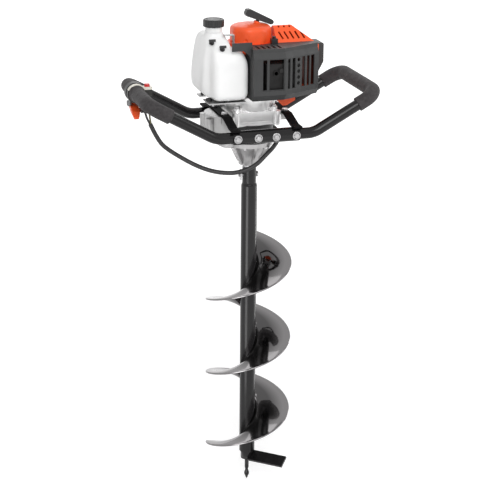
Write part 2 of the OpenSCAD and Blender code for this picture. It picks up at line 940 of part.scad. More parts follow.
module carburettor() {
    color("#a3a5a6")
        difference() {
            union() {
                box([60, 66, zcy - 18], [94, 98, zcy + 20]);
                translate([77, 0, zcy])
                    rod_y(17, 66, 98);
                along_y(98, 103)
                    rpoly([[44, zcy - 30], [114, zcy - 30], [114, zcy + 36], [44, zcy + 36]], 9);
                box([45, 88, zk + 16], [63, 97, zk + 20]);
                box([60, 88, zk + 16], [63, 97, zcy]);
                translate([77, 82, 0])
                    rod_z(14, zcy - 26, zcy);
            }
            translate([77, 0, zcy])
                rod_y(9, 60, 110);
            translate([66, 82, 0])
                rod_z(3, zcy + 8, zcy + 30);
            translate([0, 90, zcy + 8])
                rod_x(2.5, 85, 100);
        }
}

module carb_lever() {
    color("#c9ccd0")
        translate([66, 82, 0]) {
            rod_z(3 - run, zcy + 9, zcy + 24);
            difference() {
                union() {
                    rod_z(6, zcy + 22, zcy + 24);
                    box([-18, -4, zcy + 22], [0, 4, zcy + 24]);
                }
                translate([-14, 0, 0])
                    rod_z(2, zcy + 20, zcy + 30);
            }
        }
}

module choke_lever() {
    color("#2b2c2e")
        translate([0, 90, zcy + 8]) {
            rod_x(2.5 - run, 86, 98);
            rod_x(5, 96, 99);
            box([96, -3, 0], [99, 3, 24]);
            translate([0, 0, 24])
                rod_x(5, 95, 104);
        }
}

module air_filter_element() {
    color("#5b5d52")
        box([58, 103, zcy - 18], [100, 124, zcy + 24]);
}

module air_filter_cover() {
    color("#2c2d2f")
        difference() {
            along_y(103, 138)
                rpoly([[44, zcy - 30], [114, zcy - 30], [114, zcy + 36], [44, zcy + 36]], 9);
            along_y(102, 135)
                rpoly([[47, zcy - 27], [111, zcy - 27], [111, zcy + 33], [47, zcy + 33]], 7);
            for (i = [0 : 4])
                box([56 + i * 10, 136.8, zcy - 20], [61 + i * 10, 140, zcy + 26]);
        }
}

// Tank

// outside shape of the tank, shrunk by o
module tank_shape(o) {
    z0 = tank_z + o;
    z1 = tank_top - o;
    x0 = tank_x + o;
    y0 = tank_y + o;
    intersection() {
        translate([0, 0, z0])
            linear_extrude(z1 - z0)
                rpoly([[-27 - o, 52 - o], [x0, 52 - o], [x0, -54 + o / 2], [x0 + 21, y0], [-27 - o, y0]],
                    14 - o);
        along_x(-200, 0)
            rpoly([[y0 - 1, z0 - 1], [53 - o, z0 - 1], [53 - o, z1 - 12], [43, z1 + 1], [-46, z1 + 1],
                [y0 - 1, z1 - 34]], 10 - o);
        along_y(-120, 120)
            polygon([[x0 - 1, z0 + 10], [x0 + 12, z0 - 1], [-20, z0 - 1], [-20, z1 + 1], [x0 + 14, z1 + 1],
                [x0 - 1, z1 - 50]]);
    }
}

module fuel_tank() {
    color("#eef0ee")
        difference() {
            union() {
                difference() {
                    tank_shape(0);
                    rod_z(fan_r + 2, tank_z - 1, tank_top + 1);
                    box([-62, -70, tank_top - 26], [0, 60, tank_top + 1]);
                }
                translate([cap_x, cap_y, 0]) {
                    rod_z(neck_r, tank_top - 4, tank_top + 27);
                    translate([0, 0, tank_top - 2])
                        cylinder(r1 = neck_r + 4, r2 = neck_r, h = 14);
                }
            }
            difference() {
                tank_shape(tank_wall);
                rod_z(fan_r + 2 + tank_wall, tank_z - 1, tank_top + 1);
                box([-62 - tank_wall, -70 - tank_wall, tank_top - 26 - tank_wall], [0, 60, tank_top + 1]);
            }
            translate([cap_x, cap_y, 0])
                rod_z(neck_r - 4, tank_top - 20, tank_top + 30);
        }
}

module fuel_cap() {
    color("#232427")
        translate([cap_x, cap_y, 0])
            difference() {
                union() {
                    rod_z(cap_d / 2, tank_top + 18, tank_top + 32);
                    translate([0, 0, tank_top + 32])
                        cylinder(r1 = cap_d / 2, r2 = cap_d / 2 - 2, h = 2);
                }
                for (a = [0 : 30 : 330])
                    rotate([0, 0, a])
                        translate([cap_d / 2 + 1.5, 0, 0])
                            rod_z(3.2, tank_top + 17, tank_top + 36);
                rod_z(neck_r + gap, tank_top + 17, tank_top + 27 + gap);
                ring_z(cap_d / 2 - 8, cap_d / 2 - 6, tank_top + 33, tank_top + 35);
            }
}

module tank_grommets() {
    dy = -45 - tank_y;
    color("#1f1f21")
        for (p = [[-106, -60], [-86, -74]])
            translate([p[0], p[1], tank_top - 34 + (p[1] - tank_y + 1) * 35 / dy])
                rotate([atan(35 / dy), 0, 0]) {
                    rod_z(3.5, 0, 9);
                    translate([0, 0, 9])
                        rod_x(3, -7, 7);
                    rod_z(5.5, 0, 2);
                }
}

module tank_mounts() {
    color("#1f1f21")
        for (p = [[-106, -40], [-72, -62], [-100, 26]])
            translate([p[0], p[1], 0])
                rod_z(7, zk - 3, tank_z);
}

module tank_bracket() {
    color("#b9bcbf") {
        difference() {
            box([-114, -70, zk - 6], [-30, 36, zk - 3]);
            rod_z(58, zt, zk + 1);
            box([-120, -20, zk - 8], [-80, 10, zk]);
        }
        box([-71, -46, tank_top], [-50, -30, tank_top + 1.5]);
        box([-51.5, -46, zf], [-50, -30, tank_top + 1.5]);
        box([-51.5, -46, zf], [-34, -30.5, zf + 1.5]);
    }
}

// Handle frame

// ring profile of a bar
module wall(r, ri) {
    difference() {
        circle(r);
        circle(ri);
    }
}

module pipe_x(r, ri, x0, x1) {
    translate([x0, 0, 0])
        rotate([90, 0, 90])
            linear_extrude(x1 - x0)
                wall(r, ri);
}

// elbow that starts at the origin along X and turns to +Y
module elbow(r, ri, turn_r, a) {
    translate([0, turn_r, 0])
        rotate([0, 0, -90])
            rotate_extrude(angle = a)
                translate([turn_r, 0])
                    wall(r, ri);
}

// front half of the run and the lower bend of the right handle
module bar_run(r, ri) {
    translate([0, -bar_y, zh]) {
        pipe_x(r, ri, 5, run_x);
        translate([run_x, 0, 0])
            rotate([90, 0, 0])
                elbow(r, ri, bend_r, arm_a);
    }
}

// frame at the top of the front lower bend, X along the arm
module arm_frame() {
    translate([run_x, -bar_y, zh + bend_r])
        rotate([0, -arm_a, 0])
            translate([0, 0, -bend_r])
                children();
}

// both arms from s0 outwards, corners and crossbar of the right handle
module bar_loop(r, ri, s0) {
    arm_frame() {
        pipe_x(r, ri, s0, arm_len - corner_r);
        translate([arm_len - corner_r, 0, 0])
            elbow(r, ri, corner_r, 90);
        translate([arm_len, corner_r, 0])
            rotate([0, 0, 90])
                pipe_x(r, ri, 0, 2 * bar_y - 2 * corner_r);
        translate([arm_len, 2 * bar_y - corner_r, 0])
            rotate([0, 0, 90])
                elbow(r, ri, corner_r, 90);
        translate([0, 2 * bar_y, 0])
            pipe_x(r, ri, s0, arm_len - corner_r);
    }
}

module bar_bolts(r) {
    for (x = bolt_xs)
        translate([x, 0, zh])
            rod_y(r, -bar_y - 40, bar_y + 40);
}

module right_handle_tube() {
    color("#17171a")
        difference() {
            union() {
                bar_run(bar_d / 2, bar_d / 2 - bar_wall);
                mirror([0, 1, 0])
                    bar_run(bar_d / 2, bar_d / 2 - bar_wall);
                bar_loop(bar_d / 2, bar_d / 2 - bar_wall, 0);
            }
            bar_bolts(4 + slack);
        }
}

module left_handle_tube() {
    mirror([1, 0, 0])
        right_handle_tube();
}

module right_grip() {
    s = (foam_x - arm_x) / cos(arm_a);
    color("#3d3b3d")
        bar_loop(foam_d / 2, bar_d / 2, s);
}

module left_grip() {
    mirror([1, 0, 0])
        right_grip();
}

module front_saddle() {
    r = bar_d / 2 + sheet_t;
    color("#1b1b1d")
        difference() {
            translate([0, -bar_y, zh])
                along_x(-saddle_x, saddle_x)
                    difference() {
                        circle(r);
                        circle(bar_d / 2 + eps);
                        translate([-4, -r - 1])
                            square([8, r]);
                    }
            bar_bolts(4 + slack);
        }
}

module rear_saddle() {
    mirror([0, 1, 0])
        front_saddle();
}

module right_strap() {
    f = zh + bar_d / 2 + sheet_t;
    t = sheet_t + 1;
    yo = bar_y + bar_d / 2 + sheet_t;
    up = [[-yo, f + t], [-yo + 26, f + t], [-58, strap_z + t], [58, strap_z + t], [yo - 26, f + t],
        [yo, f + t]];
    down = [[yo, f], [yo - 25, f], [57, strap_z], [-57, strap_z], [-yo + 25, f], [-yo, f]];
    color("#17171a")
        difference() {
            along_x(strap_x - strap_w / 2, strap_x + strap_w / 2)
                polygon(concat(up, down));
            for (y = [-1, 1])
                translate([strap_x, y * 38, 0])
                    rod_z(4 + slack, strap_z - 1, strap_z + 10);
        }
}

module left_strap() {
    mirror([1, 0, 0])
        right_strap();
}

module handle_bolts() {
    y0 = bar_y + bar_d / 2 + sheet_t;
    y1 = bar_y - bar_d / 2 - sheet_t;
    color("#d4d6d8")
        for (m = [0, 1])
            mirror([0, m, 0])
                for (x = bolt_xs)
                    translate([x, 0, zh]) {
                        rod_y(4, -y0, -y1 + 9);
                        translate([0, -y0, 0])
                            rotate([90, 0, 0]) {
                                cylinder(r = 9, h = 1.5);
                                translate([0, 0, 1.5])
                                    cylinder(r1 = 7.5, r2 = 5, h = 4);
                            }
                        translate([0, -y1 + 7, 0])
                            rotate([90, 0, 0])
                                cylinder(r = 7.5, h = 7, $fn = 6);
                    }
}

module strap_bolts() {
    color("#c9ccd0")
        for (x = [-1, 1], y = [-1, 1])
            translate([x * strap_x, y * 38, strap_z + sheet_t + 1])
                hex_bolt(8, 12, 5);
}

// Controls

module trigger_clamp() {
    zb = grip_z - foam_d / 2;
    e = trigger_w / 2 + gap;
    color("#1d1d1f")
        translate([-grip_x, 0, 0]) {
            difference() {
                union() {
                    translate([0, 0, grip_z])
                        rod_y(foam_d / 2 + 3, clamp_y - 8, clamp_y + 8);
                    for (x = [-e - 3, e])
                        along_x(x, x + 3)
                            polygon([[clamp_y - 8, zb + 4], [clamp_y + 8, zb + 4],
                                [clamp_y + 11, zb - 5], [trig_y + 7, trig_z + 5], [trig_y + 7, trig_z - 5],
                                [trig_y - 6, trig_z - 6], [clamp_y - 8, zb - 8]]);
                    box([e, clamp_y - 19, trig_z - 14], [e + 3, clamp_y, trig_z + 4]);
                    box([e, clamp_y - 19, trig_z - 14], [e + 10, clamp_y - 11, trig_z - 1]);
                }
                translate([0, 0, grip_z])
                    rod_y(foam_d / 2 + eps, clamp_y - 30, clamp_y + 40);
            }
            translate([0, trig_y, trig_z])
                rod_x(2.5, -e - 1, e + 1);
        }
}

module throttle_trigger() {
    color("#f0602a")
        translate([-grip_x, trig_y, trig_z])
            intersection() {
                along_x(-trigger_w / 2, trigger_w / 2)
                    difference() {
                        union() {
                            circle(5.5);
                            polygon([[2, 5.2], [-18, -3], [-31, -13], [-38, -24], [-37, -28.5],
                                [-32, -29.5], [-20, -20], [-6, -11], [3, -4.5]]);
                        }
                        circle(2.5 + run);
                    }
                along_y(-60, 20)
                    polygon([[-12, 10], [-12, -6], [-4, -31], [4, -31], [12, -6], [12, 10]]);
            }
}

module stop_switch() {
    color("#e9e6da")
        translate([-grip_x, 0, grip_z])
            difference() {
                union() {
                    rod_y(foam_d / 2 + 2, ring_y - ring_w / 2, ring_y + ring_w / 2);
                    box([sw_o - 11, ring_y - 8, -6], [sw_o + 10, ring_y + 8, 15]);
                }
                rod_y(foam_d / 2 + eps, ring_y - 20, ring_y + 20);
                translate([sw_o, ring_y, 0])
                    rod_z(button_d / 2 + gap, 9 - gap, 16);
            }
}

module stop_button() {
    color("#d8372c")
        translate([sw_x, ring_y, grip_z])
            rod_z(button_d / 2, 12, 21);
}

module throttle_cable() {
    color("#222224")
        cord(cable_pts, cable_d, 3, 8);
}

module switch_wire() {
    color("#222224")
        cord(wire_pts, wire_d, 3, 8);
}

module cable_sleeve() {
    color("#2a2a2c")
        cord(sleeve_pts, sleeve_d, 3, 10);
}

auger_tube();
auger_flight();
cutter_blade();
pilot_point();
shaft_pin();
output_shaft();
output_gear();
intermediate_shaft();
intermediate_gear();
clutch_drum();
gearbox_lower_case();
gearbox_upper_case();
gearbox_bearings();
output_seal();
case_bolts();
clutch_housing();
clutch_shoes();
crankcase();
crank_bearings();
crankshaft();
flywheel();
cylinder_block();
spark_plug();
plug_cap();
head_cover();
cylinder_shroud();
muffler();
muffler_guard();
starter_housing();
starter_pulley();
starter_rope();
starter_handle();
ignition_coil();
carburettor();
carb_lever();
choke_lever();
air_filter_element();
air_filter_cover();
fuel_tank();
fuel_cap();
tank_grommets();
tank_mounts();
tank_bracket();
left_handle_tube();
right_handle_tube();
left_grip();
right_grip();
front_saddle();
rear_saddle();
left_strap();
right_strap();
handle_bolts();
strap_bolts();
trigger_clamp();
throttle_trigger();
stop_switch();
stop_button();
throttle_cable();
switch_wire();
cable_sleeve();
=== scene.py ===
"""Studio looks for a petrol earth auger: engine, gearbox, handle frame and drill bit.

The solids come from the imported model. This file gives them their finishes, puts modelled pieces
in place of the grips, the cords, the flight, the fuel tank and the starter housing with its rope,
and sets the stage. Metres, in the frame of the solids.
"""

import math

import bmesh
import bpy
import numpy as np
from bpy.props import FloatProperty, FloatVectorProperty, PointerProperty
from mathutils import Matrix, Vector, noise


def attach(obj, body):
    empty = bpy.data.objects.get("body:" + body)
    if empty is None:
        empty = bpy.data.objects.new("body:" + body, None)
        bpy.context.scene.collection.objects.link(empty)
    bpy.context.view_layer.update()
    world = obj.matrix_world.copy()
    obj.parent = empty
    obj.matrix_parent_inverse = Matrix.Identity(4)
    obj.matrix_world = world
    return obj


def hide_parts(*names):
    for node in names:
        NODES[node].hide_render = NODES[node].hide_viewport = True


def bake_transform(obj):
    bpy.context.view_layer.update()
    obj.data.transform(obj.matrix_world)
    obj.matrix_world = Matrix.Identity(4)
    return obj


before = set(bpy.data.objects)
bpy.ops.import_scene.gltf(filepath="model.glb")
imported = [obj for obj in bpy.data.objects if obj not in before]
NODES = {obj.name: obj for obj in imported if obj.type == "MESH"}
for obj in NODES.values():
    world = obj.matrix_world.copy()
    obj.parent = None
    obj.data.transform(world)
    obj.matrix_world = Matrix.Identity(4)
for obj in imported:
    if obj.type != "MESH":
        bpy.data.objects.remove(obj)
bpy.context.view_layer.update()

bl_info = {
    "name": "Earth Auger Studio",
    "version": (1, 0, 0),
    "blender": (4, 5, 0),
    "location": "View3D > Sidebar > Earth Auger",
    "description": "Finishes, modelled pieces and stage for a petrol earth auger",
    "category": "Object",
}

# Routes of the free cords, the same points as in the source of the solids
CABLE_ROUTE = [
    (-0.241, 0.0066, 0.9355),
    (-0.240, 0.002, 0.9315),
    (-0.235, 0.007, 0.917),
    (-0.226, 0.020, 0.901),
]
WIRE_ROUTE = [
    (-0.233, 0.010, 0.9665),
    (-0.233, 0.0095, 0.959),
    (-0.2325, 0.007, 0.948),
    (-0.2305, 0.006, 0.934),
    (-0.228, 0.008, 0.918),
    (-0.225, 0.012, 0.903),
]
SLEEVE_ROUTE = [
    (-0.225, 0.018, 0.900),
    (-0.212, 0.014, 0.872),
    (-0.195, 0.010, 0.848),
    (-0.158, 0.000, 0.822),
    (-0.121, -0.012, 0.802),
    (-0.088, -0.022, 0.791),
    (-0.057, -0.032, 0.788),
    (-0.035, -0.039, 0.791),
    (-0.014, -0.045, 0.799),
    (0.005, -0.047, 0.810),
    (0.022, -0.047, 0.826),
    (0.044, -0.042, 0.845),
    (0.062, -0.022, 0.860),
    (0.067, 0.008, 0.868),
    (0.062, 0.040, 0.874),
    (0.054, 0.066, 0.888),
    (0.050, 0.077, 0.910),
    (0.050, 0.082, 0.936),
    (0.050, 0.091, 0.956),
    (0.050, 0.092, 0.977),
]

# Way of the starter rope: the middle of the pull handle, the lean of the pull from upright, and
# where the rope begins and ends along it
PULL_CENTRE = (0.019, 0.0, 1.130)
PULL_LEAN = math.radians(23.5)
ROPE_SPAN = (-0.0199, -0.0091)

# Outside faces of the fuel tank: the way that each one faces and a point on it
TANK_FACES = [
    ((-1.0, 0.0, 0.0), (-0.126, 0.0, 0.0)),
    ((1.0, 0.0, 0.0), (-0.027, 0.0, 0.0)),
    ((0.0, -1.0, 0.0), (0.0, -0.086, 0.0)),
    ((0.0, 1.0, 0.0), (0.0, 0.052, 0.0)),
    ((0.0, 0.0, -1.0), (0.0, 0.0, 0.964)),
    ((0.0, 0.0, 1.0), (0.0, 0.0, 1.101)),
    ((-0.836, -0.549, 0.0), (-0.105, -0.086, 0.0)),
    ((0.0, -0.648, 0.762), (0.0, -0.086, 1.067)),
    ((-0.959, 0.0, 0.282), (-0.112, 0.0, 1.101)),
    ((-0.646, 0.0, -0.763), (-0.114, 0.0, 0.964)),
    ((0.769, 0.0, 0.641), (-0.042, 0.0, 1.076)),
]
# Corners of the valley on the tank's left front and of the shelf at its right
TANK_VALLEY = (-0.111, -0.058)
TANK_SHELF = (-0.062, -0.070, 1.075)
# Filler neck: its axis, the reach of its collar and of its bore, and the section of its rim
NECK_AXIS = (-0.090, -0.020)
COLLAR_RADIUS, COLLAR_LOW, COLLAR_HIGH = 0.0196, 1.070, 1.1075
BORE_RADIUS, BORE_LOW = 0.0136, 1.080
NECK_RIM = [
    (0.0180, 1.098),
    (0.0180, 1.1262),
    (0.0176, 1.1275),
    (0.0166, 1.128),
    (0.0150, 1.128),
    (0.0143, 1.1274),
    (0.0140, 1.1262),
    (0.0138, 1.084),
]
# Boxes and steps of the grids on which the tank and the starter housing are meshed
TANK_GRID = ((-0.130, -0.090, 0.960), (-0.022, 0.056, 1.120), 0.0025)
STARTER_GRID = ((-0.047, -0.047, 1.0752), (0.047, 0.047, 1.1245), 0.0016)

# Shares of the edge rounding, for thin sheet, moulded shells and the pull handle
FINE_EDGE, SHELL_EDGE, HANDLE_EDGE = 0.6, 1.5, 2.5

# Height of the pale top of the stop switch over the crossbar
SWITCH_TOP = 0.0085


def colour(name, description, value):
    """A colour property with the shared settings."""
    return FloatVectorProperty(
        name=name,
        description=description,
        subtype="COLOR",
        size=3,
        min=0.0,
        max=1.0,
        default=value,
    )


def length(name, description, value):
    """A length property in metres."""
    return FloatProperty(
        name=name,
        description=description,
        subtype="DISTANCE",
        unit="LENGTH",
        precision=4,
        default=value,
    )


class AugerColours(bpy.types.PropertyGroup):
    """Colours of the finishes"""

    paint: colour("Black paint", "Gloss paint of tubes and brackets", (0.007, 0.0065, 0.007))
    flight: colour("Flight paint", "Paint of the drill flight", (0.150, 0.145, 0.147))
    casting: colour("Casting", "Grey of the gearbox and engine castings", (0.40, 0.394, 0.396))
    pale_casting: colour(
        "Pale casting", "Lighter casting of the clutch housing", (0.80, 0.795, 0.795)
    )
    shell: colour("Orange shell", "Plastic of shroud, starter and trigger", (0.93, 0.105, 0.022))
    guard: colour("Guard", "Grey plastic of the muffler guard", (0.027, 0.0275, 0.028))
    fitting: colour(
        "Black fittings", "Black plastic of cap, handle and levers", (0.014, 0.014, 0.015)
    )
    tank: colour("Tank", "Milky plastic of the fuel tank", (0.89, 0.892, 0.89))
    foam: colour("Foam", "Charcoal foam of the grips", (0.031, 0.0275, 0.029))
    rubber: colour("Rubber", "Black rubber of cords and mounts", (0.016, 0.015, 0.016))
    wire: colour("Wire", "Olive skin of the switch wire", (0.115, 0.105, 0.045))
    rope: colour("Rope", "Twisted starter rope", (0.62, 0.58, 0.5))
    steel: colour("Steel", "Turned steel of gears and shafts", (0.5, 0.5, 0.51))
    bracket: colour("Bracket", "Bent steel of the tank bracket", (0.4, 0.4, 0.4))
    zinc: colour("Zinc", "Plating of the fasteners", (0.43, 0.425, 0.43))
    heat: colour("Muffler", "Heated steel sheet of the muffler", (0.008, 0.0075, 0.0075))
    ceramic: colour("Ceramic", "Glaze of the spark plug", (0.8, 0.8, 0.77))
    filter: colour("Filter", "Oiled foam of the air filter", (0.09, 0.10, 0.06))
    switch: colour("Switch", "Pale top of the stop switch", (0.78, 0.75, 0.67))
    button: colour("Button", "Red of the stop button", (0.62, 0.028, 0.028))


class AugerSizes(bpy.types.PropertyGroup):
    """Sizes of the modelled pieces"""

    foam_radius: length("Foam radius", "Radius of the foam grips along most of them", 0.0165)
    clamp_radius: length("Clamp radius", "Radius of the foam under the control clamps", 0.019)
    clamp_start: length("Clamp start", "Place along +Y where the clamps begin", 0.003)
    clamp_end: length("Clamp end", "Place along +Y where the clamps end", 0.036)
    bar_radius: length("Bar radius", "Radius of the handle tubes in the foam", 0.0125)
    bar_depth: length("Bar depth", "Distance of a handle run from the drill axis", 0.117)
    crossbar: length("Crossbar", "Distance of a crossbar from the drill axis", 0.257)
    crossbar_height: length("Crossbar height", "Height of the crossbars", 0.972805)
    foam_start: length("Foam start", "Distance from the drill axis where foam begins", 0.212)
    corner: length("Corner radius", "Radius of the handle corners", 0.032)
    arm_slope: FloatProperty(
        name="Arm slope",
        description="Slope of the rising handle arms",
        subtype="ANGLE",
        default=math.radians(29.0),
    )
    flight_radius: length("Flight radius", "Outside radius of the drill flight", 0.100)
    flight_bore: length("Flight bore", "Inside radius of the drill flight", 0.01853)
    flight_sheet: length("Flight sheet", "Thickness of the drill flight", 0.004)
    flight_pitch: length("Flight pitch", "Rise of the drill flight in one turn", 0.185)
    flight_height: length("Flight height", "Height of the drill flight where it passes +X", 0.202)
    flight_start: FloatProperty(
        name="Flight start",
        description="Angle where the drill flight begins, counted from +X",
        subtype="ANGLE",
        default=math.radians(-200.0),
    )
    flight_sweep: FloatProperty(
        name="Flight sweep",
        description="Angle that the drill flight covers",
        subtype="ANGLE",
        default=math.radians(1000.0),
    )
    sleeve: length("Sleeve diameter", "Diameter of the cable sleeve", 0.010)
    cable: length("Cable diameter", "Diameter of the throttle cable", 0.005)
    wire: length("Wire diameter", "Diameter of the switch wire", 0.004)
    rope_radius: length("Rope radius", "Radius of the starter rope", 0.0016)
    edge: length("Edge rounding", "Width of the rounding on moulded and cast edges", 0.0008)


class AugerStage(bpy.types.PropertyGroup):
    """Camera and light of the stage"""

    eye: FloatVectorProperty(
        name="Eye",
        description="Place of the camera",
        subtype="TRANSLATION",
        default=(-0.988, -3.204, 1.764),
    )
    target: FloatVectorProperty(
        name="Target",
        description="Point that the camera looks at",
        subtype="TRANSLATION",
        default=(0.00346, 0.0, 0.59124),
    )
    roll: FloatProperty(
        name="Roll",
        description="Turn of the camera about its view",
        subtype="ANGLE",
        default=math.radians(0.53),
    )
    lens: FloatProperty(
        name="Lens", description="Focal length on a 36 mm frame", unit="CAMERA", default=110.65
    )
    key: FloatProperty(
        name="Key light",
        description="Strength of the main soft light",
        unit="POWER",
        default=100.0,
    )
    fill: FloatProperty(
        name="Fill light",
        description="Strength of the light on the right",
        unit="POWER",
        default=40.0,
    )
    strip: FloatProperty(
        name="Strip lights",
        description="Strength of the narrow side lights",
        unit="POWER",
        default=0.7,
    )
    ambient: FloatProperty(
        name="Ambient", description="Strength of the light from all round", default=0.55, min=0.0
    )


def settings():
    """The three property groups of the scene."""
    scene = bpy.context.scene
    return scene.auger_colours, scene.auger_sizes, scene.auger_stage


# Materials


class Shader:
    """A material with one Principled shader and a few nodes in object space."""

    def __init__(self, name, base, rough, metal=0.0):
        self.material = bpy.data.materials.new(name)
        self.material.use_nodes = True
        self.tree = self.material.node_tree
        self.bsdf = self.tree.nodes["Principled BSDF"]
        self.place = self.tree.nodes.new("ShaderNodeTexCoord").outputs["Object"]
        self.height = None
        self.set("Base Color", (*base, 1.0))
        self.set("Roughness", rough)
        self.set("Metallic", metal)
        self.base = Vector(base)

    def set(self, socket, value):
        """Sets a value that is the same all over the surface."""
        self.bsdf.inputs[socket].default_value = value

    def node(self, kind, **values):
        """A new node with its settings."""
        made = self.tree.nodes.new(kind)
        for key, value in values.items():
            setattr(made, key, value)
        return made

    def link(self, source, target):
        """Joins two sockets."""
        self.tree.links.new(source, target)

    def axis(self, name):
        """One object coordinate: X, Y or Z."""
        axes = self.node("ShaderNodeSeparateXYZ")
        self.link(self.place, axes.inputs["Vector"])
        return axes.outputs[name]

    def times(self, first, second):
        """Product of two factors."""
        made = self.node("ShaderNodeMath", operation="MULTIPLY")
        self.link(first, made.inputs[0])
        self.link(second, made.inputs[1])
        return made.outputs["Value"]

    def distance(self, place):
        """Length of a place from the origin."""
        made = self.node("ShaderNodeVectorMath", operation="LENGTH")
        self.link(place, made.inputs[0])
        return made.outputs["Value"]

    def stretched(self, scale):
        """Object coordinates with their own scale along each axis."""
        mapping = self.node("ShaderNodeMapping")
        mapping.inputs["Scale"].default_value = scale
        self.link(self.place, mapping.inputs["Vector"])
        return mapping.outputs["Vector"]

    def grain(self, scale, detail=3.0, roughness=0.55, place=None):
        """Noise at that scale, as a factor."""
        made = self.node("ShaderNodeTexNoise")
        made.inputs["Scale"].default_value = scale
        made.inputs["Detail"].default_value = detail
        made.inputs["Roughness"].default_value = roughness
        self.link(place or self.place, made.inputs["Vector"])
        return made.outputs["Fac"]

    def cells(self, scale, feature="F1", place=None):
        """Cell distances at that scale, as a factor."""
        made = self.node("ShaderNodeTexVoronoi", feature=feature)
        made.inputs["Scale"].default_value = scale
        self.link(place or self.place, made.inputs["Vector"])
        return made.outputs["Distance"]

    def span(self, factor, low, high, start=0.0, end=1.0):
        """Maps a factor from start..end to low..high."""
        made = self.node("ShaderNodeMapRange")
        made.inputs["From Min"].default_value = start
        made.inputs["From Max"].default_value = end
        made.inputs["To Min"].default_value = low
        made.inputs["To Max"].default_value = high
        self.link(factor, made.inputs["Value"])
        return made.outputs["Result"]

    def shades(self, factor, low, high, start=0.35, end=0.65):
        """Base colour between low and high times the written colour."""
        ramp = self.node("ShaderNodeValToRGB")
        ramp.color_ramp.elements[0].position = start
        ramp.color_ramp.elements[1].position = end
        ramp.color_ramp.elements[0].color = (*(self.base * low), 1.0)
        ramp.color_ramp.elements[1].color = (*(self.base * high), 1.0)
        self.link(factor, ramp.inputs["Fac"])
        self.link(ramp.outputs["Color"], self.bsdf.inputs["Base Color"])
        return ramp

    def gloss(self, factor, low, high, start=0.3, end=0.7):
        """Roughness between low and high."""
        self.link(self.span(factor, low, high, start, end), self.bsdf.inputs["Roughness"])

    def relief(self, factor, depth, strength=1.0):
        """Bump of that depth in metres, on top of any bump made before."""
        bump = self.node("ShaderNodeBump")
        bump.inputs["Distance"].default_value = depth
        bump.inputs["Strength"].default_value = strength
        self.link(factor, bump.inputs["Height"])
        if self.height:
            self.link(self.height, bump.inputs["Normal"])
        self.height = bump.outputs["Normal"]
        self.link(self.height, self.bsdf.inputs["Normal"])


def gloss_paint(name, base, rough=0.17, shine=0.3):
    """Thick gloss paint with a soft orange peel and thin handling marks."""
    made = Shader(name, base, rough)
    made.set("Specular IOR Level", shine)
    made.shades(made.grain(9.0), 0.8, 1.25)
    made.gloss(made.grain(38.0, 5.0), rough - 0.05, rough + 0.1)
    made.relief(made.grain(420.0, 2.0), 0.00002)
    return made.material


def mirror_paint(name, base, deep=0.055, pale=0.085):
    """Mirror-like enamel with a painted reflection: darkest within one distance of the upright
    axis, pale past the other.
    """
    made = Shader(name, base, 0.1, 1.0)
    made.set("Specular Tint", (0.7, 0.69, 0.695, 1.0))
    made.set("Coat Weight", 0.3)
    made.set("Coat Roughness", 0.03)
    # Painted reflection: darker near the tube, paler towards the rim of the flight.
    away = made.distance(made.stretched((1.0, 1.0, 0.0)))
    made.shades(made.span(away, 0.0, 1.0, deep, pale), 0.5, 1.4, 0.0, 1.0)
    made.gloss(made.grain(30.0, 4.0), 0.03, 0.12)
    made.relief(made.grain(60.0, 2.0), 0.0001, 0.35)
    return made.material


def cast_alloy(name, base, with_painted_shade=False):
    """Sandy cast alloy. On the gear case, painted shade darkens the lobe and a band under its
    flange.
    """
    made = Shader(name, base, 0.38, 0.9)
    if with_painted_shade:
        # Painted shade: the lobe is darker and the block is near black under its flange.
        flange = made.span(made.axis("Z"), -0.5, 0.5, 0.8975, 0.8990)
        block = made.span(made.axis("X"), 0.0, 1.0, -0.057, -0.053)
        shade_under_flange, shade_on_lobe, plain = 0.04, 0.44, 1.0
        zone = made.node("ShaderNodeMath", operation="MULTIPLY_ADD")
        made.link(flange, zone.inputs[0])
        made.link(block, zone.inputs[1])
        zone.inputs[2].default_value = 0.5
        ramp = made.shades(zone.outputs["Value"], shade_under_flange, plain, 0.0, 1.0).color_ramp
        ramp.elements.new(0.5).color = (*(made.base * shade_on_lobe), 1.0)
    else:
        made.shades(made.grain(60.0, 6.0), 0.93, 1.06)
    made.gloss(made.grain(180.0, 4.0), 0.3, 0.44)
    made.relief(made.grain(900.0, 3.0), 0.00012)
    made.relief(made.grain(70.0, 2.0), 0.0001, 0.3)
    return made.material


def machined_steel(name, base, rough=0.3):
    """Turned steel with fine rings across the axis."""
    made = Shader(name, base, rough, 1.0)
    made.shades(made.grain(30.0), 0.85, 1.1)
    smears, rings = made.stretched((2.0, 2.0, 30.0)), made.stretched((1.0, 1.0, 24.0))
    made.gloss(made.grain(60.0, 4.0, place=smears), rough - 0.08, rough + 0.1)
    made.relief(made.grain(80.0, 2.0, place=rings), 0.00003)
    return made.material


def zinc_plate(name, base):
    """Bright zinc plating on fasteners."""
    made = Shader(name, base, 0.24, 1.0)
    made.shades(made.grain(160.0, 4.0), 0.8, 1.1)
    made.gloss(made.grain(260.0, 4.0), 0.18, 0.34)
    made.relief(made.grain(600.0, 2.0), 0.00003)
    return made.material


def moulded(name, base, rough=0.42, grain=1400.0, depth=0.00005):
    """Injection-moulded plastic with a fine spark-eroded grain."""
    made = Shader(name, base, rough)
    made.set("Specular IOR Level", 0.45)
    made.shades(made.grain(26.0, 4.0), 0.92, 1.06)
    made.gloss(made.grain(70.0, 4.0), rough - 0.06, rough + 0.08)
    made.relief(made.grain(grain, 2.0), depth)
    return made.material


